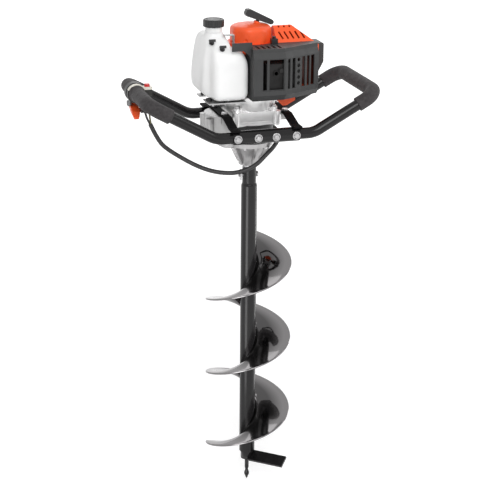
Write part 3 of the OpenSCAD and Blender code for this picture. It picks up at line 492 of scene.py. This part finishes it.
def shaded_shell(name, base, rough):
    """Moulded plastic with painted shade on the wall behind the muffler guard."""
    made = Shader(name, base, rough)
    made.set("Specular IOR Level", 0.45)
    # Painted shade: the front wall between these heights is darkened where it sits behind the
    # guard.
    front = made.span(made.axis("Y"), 1.0, 0.0, -0.036, -0.030)
    above = made.span(made.axis("Z"), 0.0, 1.0, 0.976, 0.986)
    below = made.span(made.axis("Z"), 1.0, 0.0, 1.056, 1.062)
    painted_shade = made.times(made.times(front, above), below)
    made.shades(painted_shade, 1.0, 0.09, 0.0, 1.0)
    made.gloss(made.grain(70.0, 4.0), rough - 0.06, rough + 0.08)
    made.relief(made.grain(1400.0, 2.0), 0.00005)
    return made.material


def capped_plastic(name, base, level):
    """Moulded plastic with a pale top above that level on a black body."""
    made = Shader(name, base, 0.4)
    fade = 0.0006
    made.shades(made.span(made.axis("Z"), 0.0, 1.0, level, level + fade), 0.02, 1.0, 0.0, 1.0)
    made.gloss(made.grain(70.0, 4.0), 0.34, 0.48)
    made.relief(made.grain(1400.0, 2.0), 0.00005)
    return made.material


def milky_plastic(name, base):
    """Blown tank plastic that lets light in a little."""
    made = Shader(name, base, 0.34)
    made.set("Subsurface Weight", 0.35)
    made.set("Subsurface Radius", (0.006, 0.006, 0.006))
    made.set("Subsurface Scale", 1.0)
    made.shades(made.grain(14.0, 3.0), 0.97, 1.02)
    made.gloss(made.grain(50.0, 4.0), 0.28, 0.44)
    made.relief(made.grain(90.0, 2.0), 0.00012)
    return made.material


def closed_foam(name, base):
    """Closed-cell foam with fine pores."""
    made = Shader(name, base, 0.82)
    made.set("Sheen Weight", 0.04)
    made.set("Sheen Roughness", 0.5)
    made.shades(made.grain(160.0, 6.0), 0.75, 1.25)
    made.gloss(made.grain(90.0, 3.0), 0.72, 0.92)
    made.relief(made.cells(900.0), 0.00018)
    made.relief(made.grain(60.0, 3.0), 0.0003, 0.6)
    return made.material


def soft_rubber(name, base, rough=0.5):
    """Black rubber with a dull bloom."""
    made = Shader(name, base, rough)
    made.shades(made.grain(80.0, 4.0), 0.8, 1.3)
    made.gloss(made.grain(120.0, 4.0), rough - 0.08, rough + 0.15)
    made.relief(made.grain(700.0, 2.0), 0.00005)
    return made.material


def braided_rope(name, base):
    """Twisted starter rope."""
    made = Shader(name, base, 0.85)
    wave = made.node("ShaderNodeTexWave", bands_direction="DIAGONAL")
    wave.inputs["Scale"].default_value = 160.0
    wave.inputs["Distortion"].default_value = 1.0
    made.link(made.place, wave.inputs["Vector"])
    made.shades(wave.outputs["Fac"], 0.6, 1.1, 0.2, 0.8)
    made.relief(wave.outputs["Fac"], 0.0003)
    return made.material


def open_foam(name, base):
    """Oiled filter foam."""
    made = Shader(name, base, 0.8)
    made.shades(made.cells(500.0), 0.6, 1.4, 0.1, 0.6)
    made.relief(made.cells(500.0), 0.0008)
    return made.material


def glazed(name, base):
    """Glazed ceramic or gloss plastic."""
    made = Shader(name, base, 0.16)
    made.shades(made.grain(60.0, 3.0), 0.94, 1.04)
    made.gloss(made.grain(120.0, 3.0), 0.12, 0.24)
    made.relief(made.grain(500.0, 2.0), 0.00003)
    return made.material


def heat_steel(name, base):
    """Dull steel sheet discoloured by heat."""
    made = Shader(name, base, 0.6)
    made.set("Specular IOR Level", 0.25)
    made.shades(made.grain(24.0, 5.0), 0.6, 1.5)
    made.gloss(made.grain(90.0, 4.0), 0.42, 0.7)
    made.relief(made.grain(500.0, 3.0), 0.0001)
    return made.material


def background_rays(tree):
    """A factor of 1 for the rays that see the plain background: direct, mirrored or let through."""
    rays = tree.nodes.new("ShaderNodeLightPath").outputs
    seen = rays["Is Camera Ray"]
    for kind in ("Is Glossy Ray", "Is Transmission Ray"):
        either = tree.nodes.new("ShaderNodeMath")
        either.operation = "MAXIMUM"
        tree.links.new(seen, either.inputs[0])
        tree.links.new(rays[kind], either.inputs[1])
        seen = either.outputs["Value"]
    return seen


def dress(material, *names):
    """Gives CAD nodes their material."""
    for name in names:
        data = NODES[name].data
        data.materials.clear()
        data.materials.append(material)


def mend(*names):
    """Joins points of CAD nodes that almost touch, so that no sliver is left open."""
    for name in names:
        NODES[name].modifiers.new("Closed slivers", "WELD").merge_threshold = 2e-5


def soften(width, *names):
    """Rounds the sharp edges of CAD nodes without touching their meshes."""
    for name in names:
        node = NODES[name]
        weld = node.modifiers.new("Joined faces", "WELD")
        weld.merge_threshold = 1e-6
        flat = node.modifiers.new("Flat faces", "DECIMATE")
        flat.decimate_type = "DISSOLVE"
        flat.angle_limit = math.radians(0.5)
        round_off = node.modifiers.new("Rounded edges", "BEVEL")
        round_off.width = width
        round_off.segments = 2
        round_off.limit_method = "ANGLE"
        round_off.angle_limit = math.radians(38.0)
        round_off.use_clamp_overlap = True
        round_off.harden_normals = False
        mend(name)
        node.modifiers.new("Even shading", "WEIGHTED_NORMAL").keep_sharp = True


# Shapes


def smooth_route(points, steps):
    """Catmull-Rom points through a route, as in the source of the solids."""
    out = []
    last = len(points) - 1
    for i in range(last):
        a, b = Vector(points[max(i - 1, 0)]), Vector(points[i])
        c, d = Vector(points[i + 1]), Vector(points[min(i + 2, last)])
        for j in range(steps):
            t = j / steps
            out.append(
                0.5
                * (
                    2 * b
                    + (c - a) * t
                    + (2 * a - 5 * b + 4 * c - d) * t * t
                    + (3 * b - a - 3 * c + d) * t * t * t
                )
            )
    out.append(Vector(points[last]))
    return out


def cord_piece(name, route, steps, diameter, material):
    """A round cord along a route, as a curve with round section."""
    points = smooth_route(route, steps)
    data = bpy.data.curves.new(name, "CURVE")
    data.dimensions = "3D"
    data.bevel_depth = diameter / 2
    data.bevel_resolution = 5
    data.use_fill_caps = True
    spline = data.splines.new("POLY")
    spline.points.add(len(points) - 1)
    for place, point in zip(spline.points, points):
        place.co = (*point, 1.0)
    spline.use_smooth = True
    data.materials.append(material)
    piece = bpy.data.objects.new(name, data)
    bpy.context.scene.collection.objects.link(piece)
    return piece, points


def join_rings(build, rings):
    """Adds the faces between rings of points that follow each other."""
    for low, high in zip(rings, rings[1:]):
        for k in range(len(low)):
            after = (k + 1) % len(low)
            build.faces.new((low[k], low[after], high[after], high[k]))


def add_mesh(name, build, material):
    """A new smooth mesh object from a bmesh, which is freed."""
    data = bpy.data.meshes.new(name)
    build.to_mesh(data)
    build.free()
    for face in data.polygons:
        face.use_smooth = True
    data.materials.append(material)
    piece = bpy.data.objects.new(name, data)
    bpy.context.scene.collection.objects.link(piece)
    return piece


def grip_path(sizes, side):
    """Centre line of a foam grip: up the front arm, along the crossbar and down the back arm."""
    rise = Vector((side * math.cos(sizes.arm_slope), 0.0, math.sin(sizes.arm_slope)))
    across = Vector((0.0, 1.0, 0.0))
    front = Vector((side * sizes.crossbar, -sizes.bar_depth, sizes.crossbar_height))
    back = Vector((side * sizes.crossbar, sizes.bar_depth, sizes.crossbar_height))
    arm = (sizes.crossbar - sizes.foam_start) / math.cos(sizes.arm_slope)
    points = []
    straight, bend, middle = 16, 12, 40
    for i in range(straight):
        points.append(front - rise * (arm + (sizes.corner - arm) * i / straight))
    for i in range(bend + 1):
        turn = math.radians(90.0 * i / bend)
        points.append(
            front
            - rise * sizes.corner * (1 - math.sin(turn))
            + across * sizes.corner * (1 - math.cos(turn))
        )
    cross = 2 * (sizes.bar_depth - sizes.corner)
    for i in range(1, middle):
        points.append(front + across * (sizes.corner + cross * i / middle))
    for i in range(bend + 1):
        turn = math.radians(90.0 * i / bend)
        points.append(
            back
            - across * sizes.corner * (1 - math.sin(turn))
            - rise * sizes.corner * (1 - math.cos(turn))
        )
    for i in range(1, straight + 1):
        points.append(back - rise * (sizes.corner + (arm - sizes.corner) * i / straight))
    return points


def grip_mesh(sizes, side):
    """Foam sleeve along the handle loop, with rounded ends and slight hollows."""
    path = grip_path(sizes, side)
    rise = Vector((side * math.cos(sizes.arm_slope), 0.0, math.sin(sizes.arm_slope)))
    normal = rise.cross(Vector((0.0, 1.0, 0.0))).normalized()
    build = bmesh.new()
    around = 40
    lip, bore = 0.002, sizes.bar_radius + 0.0001
    swell_fade = 0.014
    hollow, hollow_scale = 0.0002, 55.0
    rings = []

    def thickness(centre):
        """Radius of the foam, with a smooth swell under the clamps on the left."""
        if side > 0:
            return sizes.foam_radius
        gap = max(sizes.clamp_start - centre.y, centre.y - sizes.clamp_end, 0.0) / swell_fade
        near = max(1.0 - gap, 0.0)
        near = near * near * (3.0 - 2.0 * near)
        return sizes.foam_radius + (sizes.clamp_radius - sizes.foam_radius) * near

    def ring(centre, along, radius, waver):
        """Adds a ring of points round the centre line, with slight hollows if it wavers."""
        sideways = along.cross(normal).normalized()
        row = []
        for k in range(around):
            turn = 2 * math.pi * k / around
            out = normal * math.cos(turn) + sideways * math.sin(turn)
            dip = 0.0
            if waver:
                dip = hollow * (1 + noise.noise((centre + out * radius) * hollow_scale))
            row.append(build.verts.new(centre + out * (radius - dip)))
        rings.append(row)

    count = len(path)
    headings = [
        (path[min(i + 1, count - 1)] - path[max(i - 1, 0)]).normalized() for i in range(count)
    ]
    for radius in (bore, sizes.foam_radius - lip):
        ring(path[0], headings[0], radius, False)
    for step in (30, 60):
        turn = math.radians(step)
        ring(
            path[0] + headings[0] * lip * (1 - math.cos(turn)),
            headings[0],
            sizes.foam_radius - lip + lip * math.sin(turn),
            False,
        )
    for i in range(1, count - 1):
        ring(path[i], headings[i], thickness(path[i]), True)
    for step in (60, 30):
        turn = math.radians(step)
        ring(
            path[-1] - headings[-1] * lip * (1 - math.cos(turn)),
            headings[-1],
            sizes.foam_radius - lip + lip * math.sin(turn),
            False,
        )
    ring(path[-1], headings[-1], sizes.foam_radius - lip, False)
    for i in range(count - 1, 0, -1):
        ring(path[i], headings[i], bore, False)
    join_rings(build, rings + rings[:1])
    bmesh.ops.recalc_face_normals(build, faces=build.faces)
    return build


def soft_join(a, b, width):
    """The larger of two fields, with a rounding of that width where they are close."""
    near = np.maximum(width - np.abs(a - b), 0.0) / width
    return np.maximum(a, b) + near * near * width / 4


def tank_field(x, y, z):
    """Field of the blown tank, negative inside it."""
    body = np.full(x.shape, -1.0)
    for way, point in TANK_FACES:
        depth = way[0] * (x - point[0]) + way[1] * (y - point[1]) + way[2] * (z - point[2])
        body = soft_join(body, depth, 0.018)
    engine_room = 0.054
    body = soft_join(body, engine_room - np.hypot(x, y), 0.008)
    valley = soft_join(x - TANK_VALLEY[0], y - TANK_VALLEY[1], 0.012)
    body = soft_join(body, -valley, 0.016)
    shelf = np.maximum(TANK_SHELF[0] - x, TANK_SHELF[1] - y)
    body = soft_join(body, -np.maximum(shelf, TANK_SHELF[2] - z), 0.010)
    from_neck = np.hypot(x - NECK_AXIS[0], y - NECK_AXIS[1])
    collar = np.maximum(from_neck - COLLAR_RADIUS, slab(z, COLLAR_LOW, COLLAR_HIGH))
    body = -soft_join(-body, -collar, 0.010)
    bore = np.maximum(from_neck - BORE_RADIUS, BORE_LOW - z)
    return np.maximum(body, -bore)


def slab(place, low, high):
    """Field of a stretch along one axis, negative between its ends."""
    return np.maximum(low - place, place - high)


def starter_field(x, y, z):
    """Field of the starter housing, an eight-sided shell with soft edges, negative in its wall."""
    radius, eaves, top, foot, sheet = 0.044, 1.1132, 1.120, 1.078, 0.003
    wall = np.full(x.shape, -1.0)
    roof = np.full(x.shape, -1.0)
    for k in range(8):
        reach = x * math.cos(math.pi * k / 4) + y * math.sin(math.pi * k / 4) - radius
        wall = soft_join(wall, reach, 0.006)
        roof = soft_join(roof, 0.28 * reach + 0.96 * (z - eaves), 0.005)
    body = soft_join(soft_join(wall, roof, 0.008), z - top, 0.006)
    from_axis = np.hypot(x, y)
    post = np.maximum(from_axis - 0.0046, 1.091 - z)
    hub = np.minimum(post, np.maximum(from_axis - 0.008, 1.1075 - z))
    block = np.maximum(slab(x, -0.036, -0.016), slab(y, -0.046, -0.030))
    block = np.maximum(block, z - 1.093)
    shell = np.maximum(body, np.minimum(-body - sheet, np.minimum(hub, block)))
    off, up = x - PULL_CENTRE[0], z - PULL_CENTRE[2]
    along = off * math.sin(PULL_LEAN) + up * math.cos(PULL_LEAN)
    aside = np.hypot(off * math.cos(PULL_LEAN) - up * math.sin(PULL_LEAN), y)
    boss = np.maximum(aside - 0.007, slab(along, -0.020, -0.0093))
    shell = np.maximum(np.minimum(shell, boss), 0.0032 - aside)
    notch = np.maximum(slab(x, -0.031, -0.019), slab(y, -0.050, -0.0365))
    notch = np.maximum(notch, z - 1.089)
    return np.maximum(np.maximum(shell, -notch), foot - z)


def soft_surface(field, low, high, step):
    """Mesh of a field's zero level: a point in each mixed cell, joined across crossed edges."""
    low = np.array(low)
    counts = [int((b - a) / step) + 2 for a, b in zip(low, high)]
    axes = [low[i] + step * np.arange(counts[i]) for i in range(3)]
    value = field(*np.meshgrid(*axes, indexing="ij"))
    inside = value < 0
    cells = [count - 1 for count in counts]

    def at(grid, corner):
        """The values at that corner of every cell."""
        return grid[tuple(slice(c, c + n) for c, n in zip(corner, cells))]

    total = np.zeros((*cells, 3))
    hits = np.zeros(cells)
    for corner in np.ndindex(2, 2, 2):
        for axis in range(3):
            if corner[axis]:
                continue
            other = tuple(1 if k == axis else corner[k] for k in range(3))
            crossed = at(inside, corner) != at(inside, other)
            start, end = at(value, corner), at(value, other)
            share = start / np.where(crossed, start - end, 1.0)
            for k in range(3):
                total[..., k] += crossed * (corner[k] + (share if k == axis else 0.0))
            hits += crossed
    mixed = hits > 0
    number = np.cumsum(mixed).reshape(cells) - 1
    points = low + step * (np.argwhere(mixed) + total[mixed] / hits[mixed][:, None])
    build = bmesh.new()
    verts = [build.verts.new(point) for point in points]
    for axis in range(3):
        u, v = (axis + 1) % 3, (axis + 2) % 3
        lower = np.take(inside, range(counts[axis] - 1), axis)
        upper = np.take(inside, range(1, counts[axis]), axis)
        for place in np.argwhere(lower != upper):
            ring = []
            for du, dv in ((0, 0), (1, 0), (1, 1), (0, 1)):
                cell = place.copy()
                cell[u] -= du
                cell[v] -= dv
                ring.append(verts[number[tuple(cell)]])
            build.faces.new(ring)
    bmesh.ops.recalc_face_normals(build, faces=build.faces)
    return build


def add_lathe(build, centre, profile, around):
    """Adds a turned ring with an upright axis and a closed section to a mesh."""
    rows = []
    for radius, height in profile:
        rows.append(
            [
                build.verts.new(
                    (
                        centre[0] + radius * math.cos(2 * math.pi * k / around),
                        centre[1] + radius * math.sin(2 * math.pi * k / around),
                        height,
                    )
                )
                for k in range(around)
            ]
        )
    join_rings(build, rows + rows[:1])


def tank_mesh():
    """Soft-edged tank with a turned filler neck."""
    build = soft_surface(tank_field, *TANK_GRID)
    add_lathe(build, NECK_AXIS, NECK_RIM, 48)
    return build


def pull_point(along, radius=0.0, turn=0.0):
    """A point by its place along the pull and its place round it."""
    way = Vector((math.sin(PULL_LEAN), 0.0, math.cos(PULL_LEAN)))
    aside = Vector((math.cos(PULL_LEAN), 0.0, -math.sin(PULL_LEAN)))
    across = Vector((0.0, 1.0, 0.0))
    out = aside * math.cos(turn) + across * math.sin(turn)
    return Vector(PULL_CENTRE) + way * along + out * radius


def rope_mesh(radius, low, high):
    """Starter rope with many rings along the pull."""
    build = bmesh.new()
    steps, around = 90, 16
    rows = []
    for i in range(steps + 1):
        along = low + (high - low) * i / steps
        turns = [2 * math.pi * k / around for k in range(around)]
        rows.append([build.verts.new(pull_point(along, radius, turn)) for turn in turns])
    join_rings(build, rows)
    build.faces.new(rows[0])
    build.faces.new(rows[-1])
    bmesh.ops.recalc_face_normals(build, faces=build.faces)
    return build


def flight_mesh(sizes):
    """Helical sheet with a rounded rim, swept round the drill axis."""
    inner, outer, sheet = sizes.flight_bore, sizes.flight_radius, sizes.flight_sheet
    rim = sheet * 0.45
    top = [(inner + (outer - rim - inner) * i / 10, 0.0) for i in range(11)]
    corner = [
        (outer - rim + rim * math.sin(turn), -rim + rim * math.cos(turn))
        for turn in (math.radians(22.5 * k) for k in range(1, 5))
    ]
    upper = top + corner
    profile = upper + [(r, -sheet - z) for r, z in reversed(upper)]
    build = bmesh.new()
    steps = 400
    rows = []
    for i in range(steps + 1):
        turn = sizes.flight_start + sizes.flight_sweep * i / steps
        height = sizes.flight_height + sizes.flight_pitch * turn / (2 * math.pi)
        across = Vector((math.cos(turn), math.sin(turn), 0.0))
        rows.append(
            [build.verts.new(across * r + Vector((0.0, 0.0, height + z))) for r, z in profile]
        )
    join_rings(build, rows)
    build.faces.new(rows[0])
    build.faces.new(rows[-1])
    bmesh.ops.recalc_face_normals(build, faces=build.faces)
    return build


# Operators


class AUGER_OT_stage(bpy.types.Operator):
    """Set the camera, the pale floor and the soft light"""

    bl_idname = "earth_auger.stage"
    bl_label = "Stage"

    def execute(self, context):
        stage = settings()[2]
        scene = context.scene
        scene.view_settings.view_transform = "Standard"
        eye = bpy.data.objects.new("camera", bpy.data.cameras.new("camera"))
        scene.collection.objects.link(eye)
        eye.data.lens = stage.lens
        eye.data.sensor_width = 36.0
        eye.data.clip_end = 200.0
        look = (Vector(stage.target) - Vector(stage.eye)).to_track_quat("-Z", "Y")
        eye.matrix_world = (
            Matrix.Translation(stage.eye)
            @ look.to_matrix().to_4x4()
            @ Matrix.Rotation(stage.roll, 4, "Z")
        )
        scene.camera = eye
        self.floor()
        back, right, strip_height = stage.fill * 0.4, stage.strip * 0.3, 0.62
        self.light("key light", (-0.9, -3.7, 3.2), 2.6, stage.key)
        self.light("fill light", (3.4, -1.6, 2.4), 2.2, stage.fill)
        self.light("back light", (0.6, 3.2, 2.6), 2.4, back)
        self.light("left strip", (-0.38, -0.40, 0.32), 0.30, stage.strip, strip_height)
        self.light("right strip", (0.50, 0.11, 0.32), 0.05, right, strip_height)
        self.surroundings(stage.ambient)
        return {"FINISHED"}

    def floor(self):
        """A wide pale floor that the camera and reflections see brighter with the distance."""
        build = bmesh.new()
        bmesh.ops.create_grid(build, x_segments=1, y_segments=1, size=40.0)
        paper = Shader("floor paper", (0.86, 0.86, 0.86), 0.9)
        paper.shades(paper.grain(0.8, 2.0), 0.995, 1.005)
        paper.set("Emission Color", (1.0, 1.0, 1.0, 1.0))
        near, far, near_glow, far_glow = 0.6, 4.0, 0.3, 0.75
        glow = paper.span(paper.distance(paper.place), near_glow, far_glow, near, far)
        seen = paper.times(background_rays(paper.tree), glow)
        paper.link(seen, paper.bsdf.inputs["Emission Strength"])
        add_mesh("floor", build, paper.material)

    def light(self, name, place, size, power, height=0.0):
        """A soft square light that faces the machine, or with a height a strip beside the bit."""
        lamp = bpy.data.lights.new(name, "AREA")
        lamp.size = size
        lamp.energy = power
        if height:
            lamp.shape = "RECTANGLE"
            lamp.size_y = height
            lamp.spread = math.radians(70.0)
        holder = bpy.data.objects.new(name, lamp)
        holder.location = place
        target = Vector((0.0, 0.0, place[2] if height else 0.7))
        holder.rotation_euler = (target - Vector(place)).to_track_quat("-Z", "Y").to_euler()
        holder.visible_camera = not height
        bpy.context.scene.collection.objects.link(holder)

    def surroundings(self, strength):
        """Even surroundings, which the camera and reflections see as plain white."""
        world = bpy.data.worlds.new("surroundings")
        world.use_nodes = True
        tree = world.node_tree
        soft = tree.nodes["Background"]
        soft.inputs["Color"].default_value = (1.0, 1.0, 1.0, 1.0)
        soft.inputs["Strength"].default_value = strength
        white = tree.nodes.new("ShaderNodeBackground")
        white.inputs["Color"].default_value = (1.0, 1.0, 1.0, 1.0)
        either = tree.nodes.new("ShaderNodeMixShader")
        tree.links.new(background_rays(tree), either.inputs["Fac"])
        tree.links.new(soft.outputs["Background"], either.inputs[1])
        tree.links.new(white.outputs["Background"], either.inputs[2])
        tree.links.new(either.outputs["Shader"], tree.nodes["World Output"].inputs["Surface"])
        bpy.context.scene.world = world


class AUGER_OT_cords(bpy.types.Operator):
    """Lay the throttle cable, the switch wire and the sleeve that holds both"""

    bl_idname = "earth_auger.cords"
    bl_label = "Cords"

    def execute(self, context):
        colours, sizes, _ = settings()
        rubber = soft_rubber("cord rubber", colours.rubber, 0.42)
        olive = soft_rubber("wire skin", colours.wire, 0.42)
        for name, route, steps, diameter, stiffness, skin in (
            ("throttle_cable", CABLE_ROUTE, 6, sizes.cable, "stiff", rubber),
            ("switch_wire", WIRE_ROUTE, 6, sizes.wire, "medium", olive),
            ("cable_sleeve", SLEEVE_ROUTE, 3, sizes.sleeve, "stiff", rubber),
        ):
            piece, points = cord_piece(name + "_run", route, steps, diameter, skin)
            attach(piece, "frame")
            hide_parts(name)
        return {"FINISHED"}


class AUGER_OT_grips(bpy.types.Operator):
    """Model the foam grips"""

    bl_idname = "earth_auger.grips"
    bl_label = "Grips"

    def execute(self, context):
        colours, sizes, _ = settings()
        foam = closed_foam("grip foam", colours.foam)
        for name, side in (("left_grip", -1.0), ("right_grip", 1.0)):
            piece = add_mesh(name + "_foam", grip_mesh(sizes, side), foam)
            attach(piece, "frame")
            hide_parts(name)
        return {"FINISHED"}


class AUGER_OT_bit(bpy.types.Operator):
    """Finish the drill bit"""

    bl_idname = "earth_auger.bit"
    bl_label = "Bit"

    def execute(self, context):
        colours, sizes, _ = settings()
        dress(gloss_paint("bit paint", colours.paint), "auger_tube", "cutter_blade", "pilot_point")
        flight = add_mesh(
            "flight_sheet", flight_mesh(sizes), mirror_paint("flight paint", colours.flight)
        )
        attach(flight, "bit")
        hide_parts("auger_flight")
        dress(zinc_plate("pin zinc", colours.zinc), "shaft_pin")
        soften(sizes.edge, "auger_tube", "cutter_blade")
        mend("pilot_point")
        return {"FINISHED"}


class AUGER_OT_gearbox(bpy.types.Operator):
    """Finish the gearbox and what turns in it"""

    bl_idname = "earth_auger.gearbox"
    bl_label = "Gearbox"

    def execute(self, context):
        colours, sizes, _ = settings()
        dress(cast_alloy("gearbox casting", colours.casting), "gearbox_lower_case")
        # The gear case's casting carries painted shade on its lobe and under its flange.
        dress(cast_alloy("case casting", colours.pale_casting, True), "gearbox_upper_case")
        dress(cast_alloy("clutch casting", colours.pale_casting), "clutch_housing")
        steel = machined_steel("gear steel", colours.steel)
        dress(
            steel,
            "output_shaft",
            "output_gear",
            "intermediate_shaft",
            "intermediate_gear",
            "clutch_drum",
            "clutch_shoes",
            "gearbox_bearings",
        )
        dress(soft_rubber("seal rubber", colours.rubber), "output_seal")
        dress(zinc_plate("case bolt zinc", colours.zinc), "case_bolts")
        soften(sizes.edge, "gearbox_lower_case", "clutch_housing")
        return {"FINISHED"}


class AUGER_OT_handles(bpy.types.Operator):
    """Finish the handle frame and its fasteners"""

    bl_idname = "earth_auger.handles"
    bl_label = "Handles"

    def execute(self, context):
        colours, sizes, _ = settings()
        dress(
            gloss_paint("frame paint", colours.paint),
            "left_handle_tube",
            "right_handle_tube",
            "front_saddle",
            "rear_saddle",
        )
        dress(gloss_paint("strap paint", colours.paint, 0.7, 0.05), "left_strap", "right_strap")
        dress(zinc_plate("frame bolt zinc", colours.zinc), "handle_bolts", "strap_bolts")
        fine = sizes.edge * FINE_EDGE
        soften(fine, "front_saddle", "rear_saddle", "left_strap", "right_strap")
        soften(fine, "handle_bolts", "strap_bolts")
        return {"FINISHED"}


class AUGER_OT_engine(bpy.types.Operator):
    """Finish the engine block and its running parts"""

    bl_idname = "earth_auger.engine"
    bl_label = "Engine"

    def execute(self, context):
        colours, sizes, _ = settings()
        casting = cast_alloy("engine casting", colours.casting)
        dress(casting, "crankcase", "cylinder_block", "carburettor")
        dress(cast_alloy("flywheel casting", colours.pale_casting), "flywheel")
        steel = machined_steel("engine steel", colours.steel)
        dress(steel, "crank_bearings", "crankshaft", "carb_lever")
        dress(heat_steel("muffler steel", colours.heat), "muffler")
        dress(glazed("plug ceramic", colours.ceramic), "spark_plug")
        dress(soft_rubber("plug rubber", colours.rubber), "plug_cap")
        dress(open_foam("filter foam", colours.filter), "air_filter_element")
        fitting = moulded("engine fittings", colours.fitting, 0.38)
        dress(fitting, "air_filter_cover", "ignition_coil", "choke_lever")
        soften(sizes.edge, "crankcase", "air_filter_cover", "muffler")
        return {"FINISHED"}


class AUGER_OT_shells(bpy.types.Operator):
    """Finish the moulded shells and the starter"""

    bl_idname = "earth_auger.shells"
    bl_label = "Shells"

    def execute(self, context):
        colours, sizes, _ = settings()
        build = soft_surface(starter_field, *STARTER_GRID)
        dome = add_mesh("starter_dome", build, moulded("orange shell", colours.shell, 0.36))
        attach(dome, "frame")
        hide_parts("starter_housing")
        dress(shaded_shell("shroud shell", colours.shell, 0.36), "cylinder_shroud")
        guard = moulded("guard plastic", colours.guard, 0.5, 900.0, 0.0001)
        dress(guard, "muffler_guard", "head_cover")
        fitting = moulded("starter fittings", colours.fitting, 0.38)
        dress(fitting, "starter_handle", "starter_pulley")
        low, high = ROPE_SPAN
        build = rope_mesh(sizes.rope_radius, low, high)
        rope = add_mesh("pull_rope", build, braided_rope("starter rope", colours.rope))
        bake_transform(rope)
        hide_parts("starter_rope")
        soften(sizes.edge * SHELL_EDGE, "muffler_guard")
        soften(sizes.edge * HANDLE_EDGE, "starter_handle")
        return {"FINISHED"}


class AUGER_OT_fuel(bpy.types.Operator):
    """Finish the fuel tank and what is fixed to it"""

    bl_idname = "earth_auger.fuel"
    bl_label = "Fuel tank"

    def execute(self, context):
        colours, sizes, _ = settings()
        tank = add_mesh("tank_body", tank_mesh(), milky_plastic("tank plastic", colours.tank))
        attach(tank, "frame")
        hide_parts("fuel_tank")
        dress(moulded("cap plastic", colours.fitting, 0.36), "fuel_cap")
        dress(soft_rubber("tank rubber", colours.rubber), "tank_grommets", "tank_mounts")
        dress(machined_steel("bracket steel", colours.bracket, 0.4), "tank_bracket")
        soften(sizes.edge * FINE_EDGE, "fuel_cap", "tank_bracket")
        return {"FINISHED"}


class AUGER_OT_controls(bpy.types.Operator):
    """Finish the throttle trigger and the stop switch"""

    bl_idname = "earth_auger.controls"
    bl_label = "Controls"

    def execute(self, context):
        colours, sizes, _ = settings()
        dress(moulded("trigger plastic", colours.shell, 0.34), "throttle_trigger")
        dress(moulded("clamp plastic", colours.fitting, 0.4), "trigger_clamp")
        top = sizes.crossbar_height + SWITCH_TOP
        dress(capped_plastic("switch plastic", colours.switch, top), "stop_switch")
        dress(glazed("button plastic", colours.button), "stop_button")
        soften(sizes.edge, "throttle_trigger", "trigger_clamp", "stop_switch", "stop_button")
        return {"FINISHED"}


class AUGER_PT_studio(bpy.types.Panel):
    """Buttons of the earth auger studio"""

    bl_label = "Earth Auger"
    bl_idname = "AUGER_PT_studio"
    bl_space_type = "VIEW_3D"
    bl_region_type = "UI"
    bl_category = "Earth Auger"

    def draw(self, context):
        for operator in OPERATORS:
            self.layout.operator(operator.bl_idname)
        for group in settings():
            box = self.layout.box()
            for key in group.bl_rna.properties.keys():
                if key not in ("rna_type", "name"):
                    box.prop(group, key)


OPERATORS = (
    AUGER_OT_stage,
    AUGER_OT_cords,
    AUGER_OT_grips,
    AUGER_OT_bit,
    AUGER_OT_gearbox,
    AUGER_OT_handles,
    AUGER_OT_engine,
    AUGER_OT_shells,
    AUGER_OT_fuel,
    AUGER_OT_controls,
)
GROUPS = (AugerColours, AugerSizes, AugerStage)


def register():
    """Registers the classes and the scene's property groups."""
    for item in (*GROUPS, *OPERATORS, AUGER_PT_studio):
        bpy.utils.register_class(item)
    bpy.types.Scene.auger_colours = PointerProperty(type=AugerColours)
    bpy.types.Scene.auger_sizes = PointerProperty(type=AugerSizes)
    bpy.types.Scene.auger_stage = PointerProperty(type=AugerStage)


def unregister():
    """Removes what register() added."""
    del bpy.types.Scene.auger_stage, bpy.types.Scene.auger_sizes, bpy.types.Scene.auger_colours
    for item in reversed((*GROUPS, *OPERATORS, AUGER_PT_studio)):
        bpy.utils.unregister_class(item)


def main():
    """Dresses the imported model."""
    register()
    for operator in OPERATORS:
        group, name = operator.bl_idname.split(".")
        getattr(getattr(bpy.ops, group), name)()


if __name__ == "__main__":
    main()
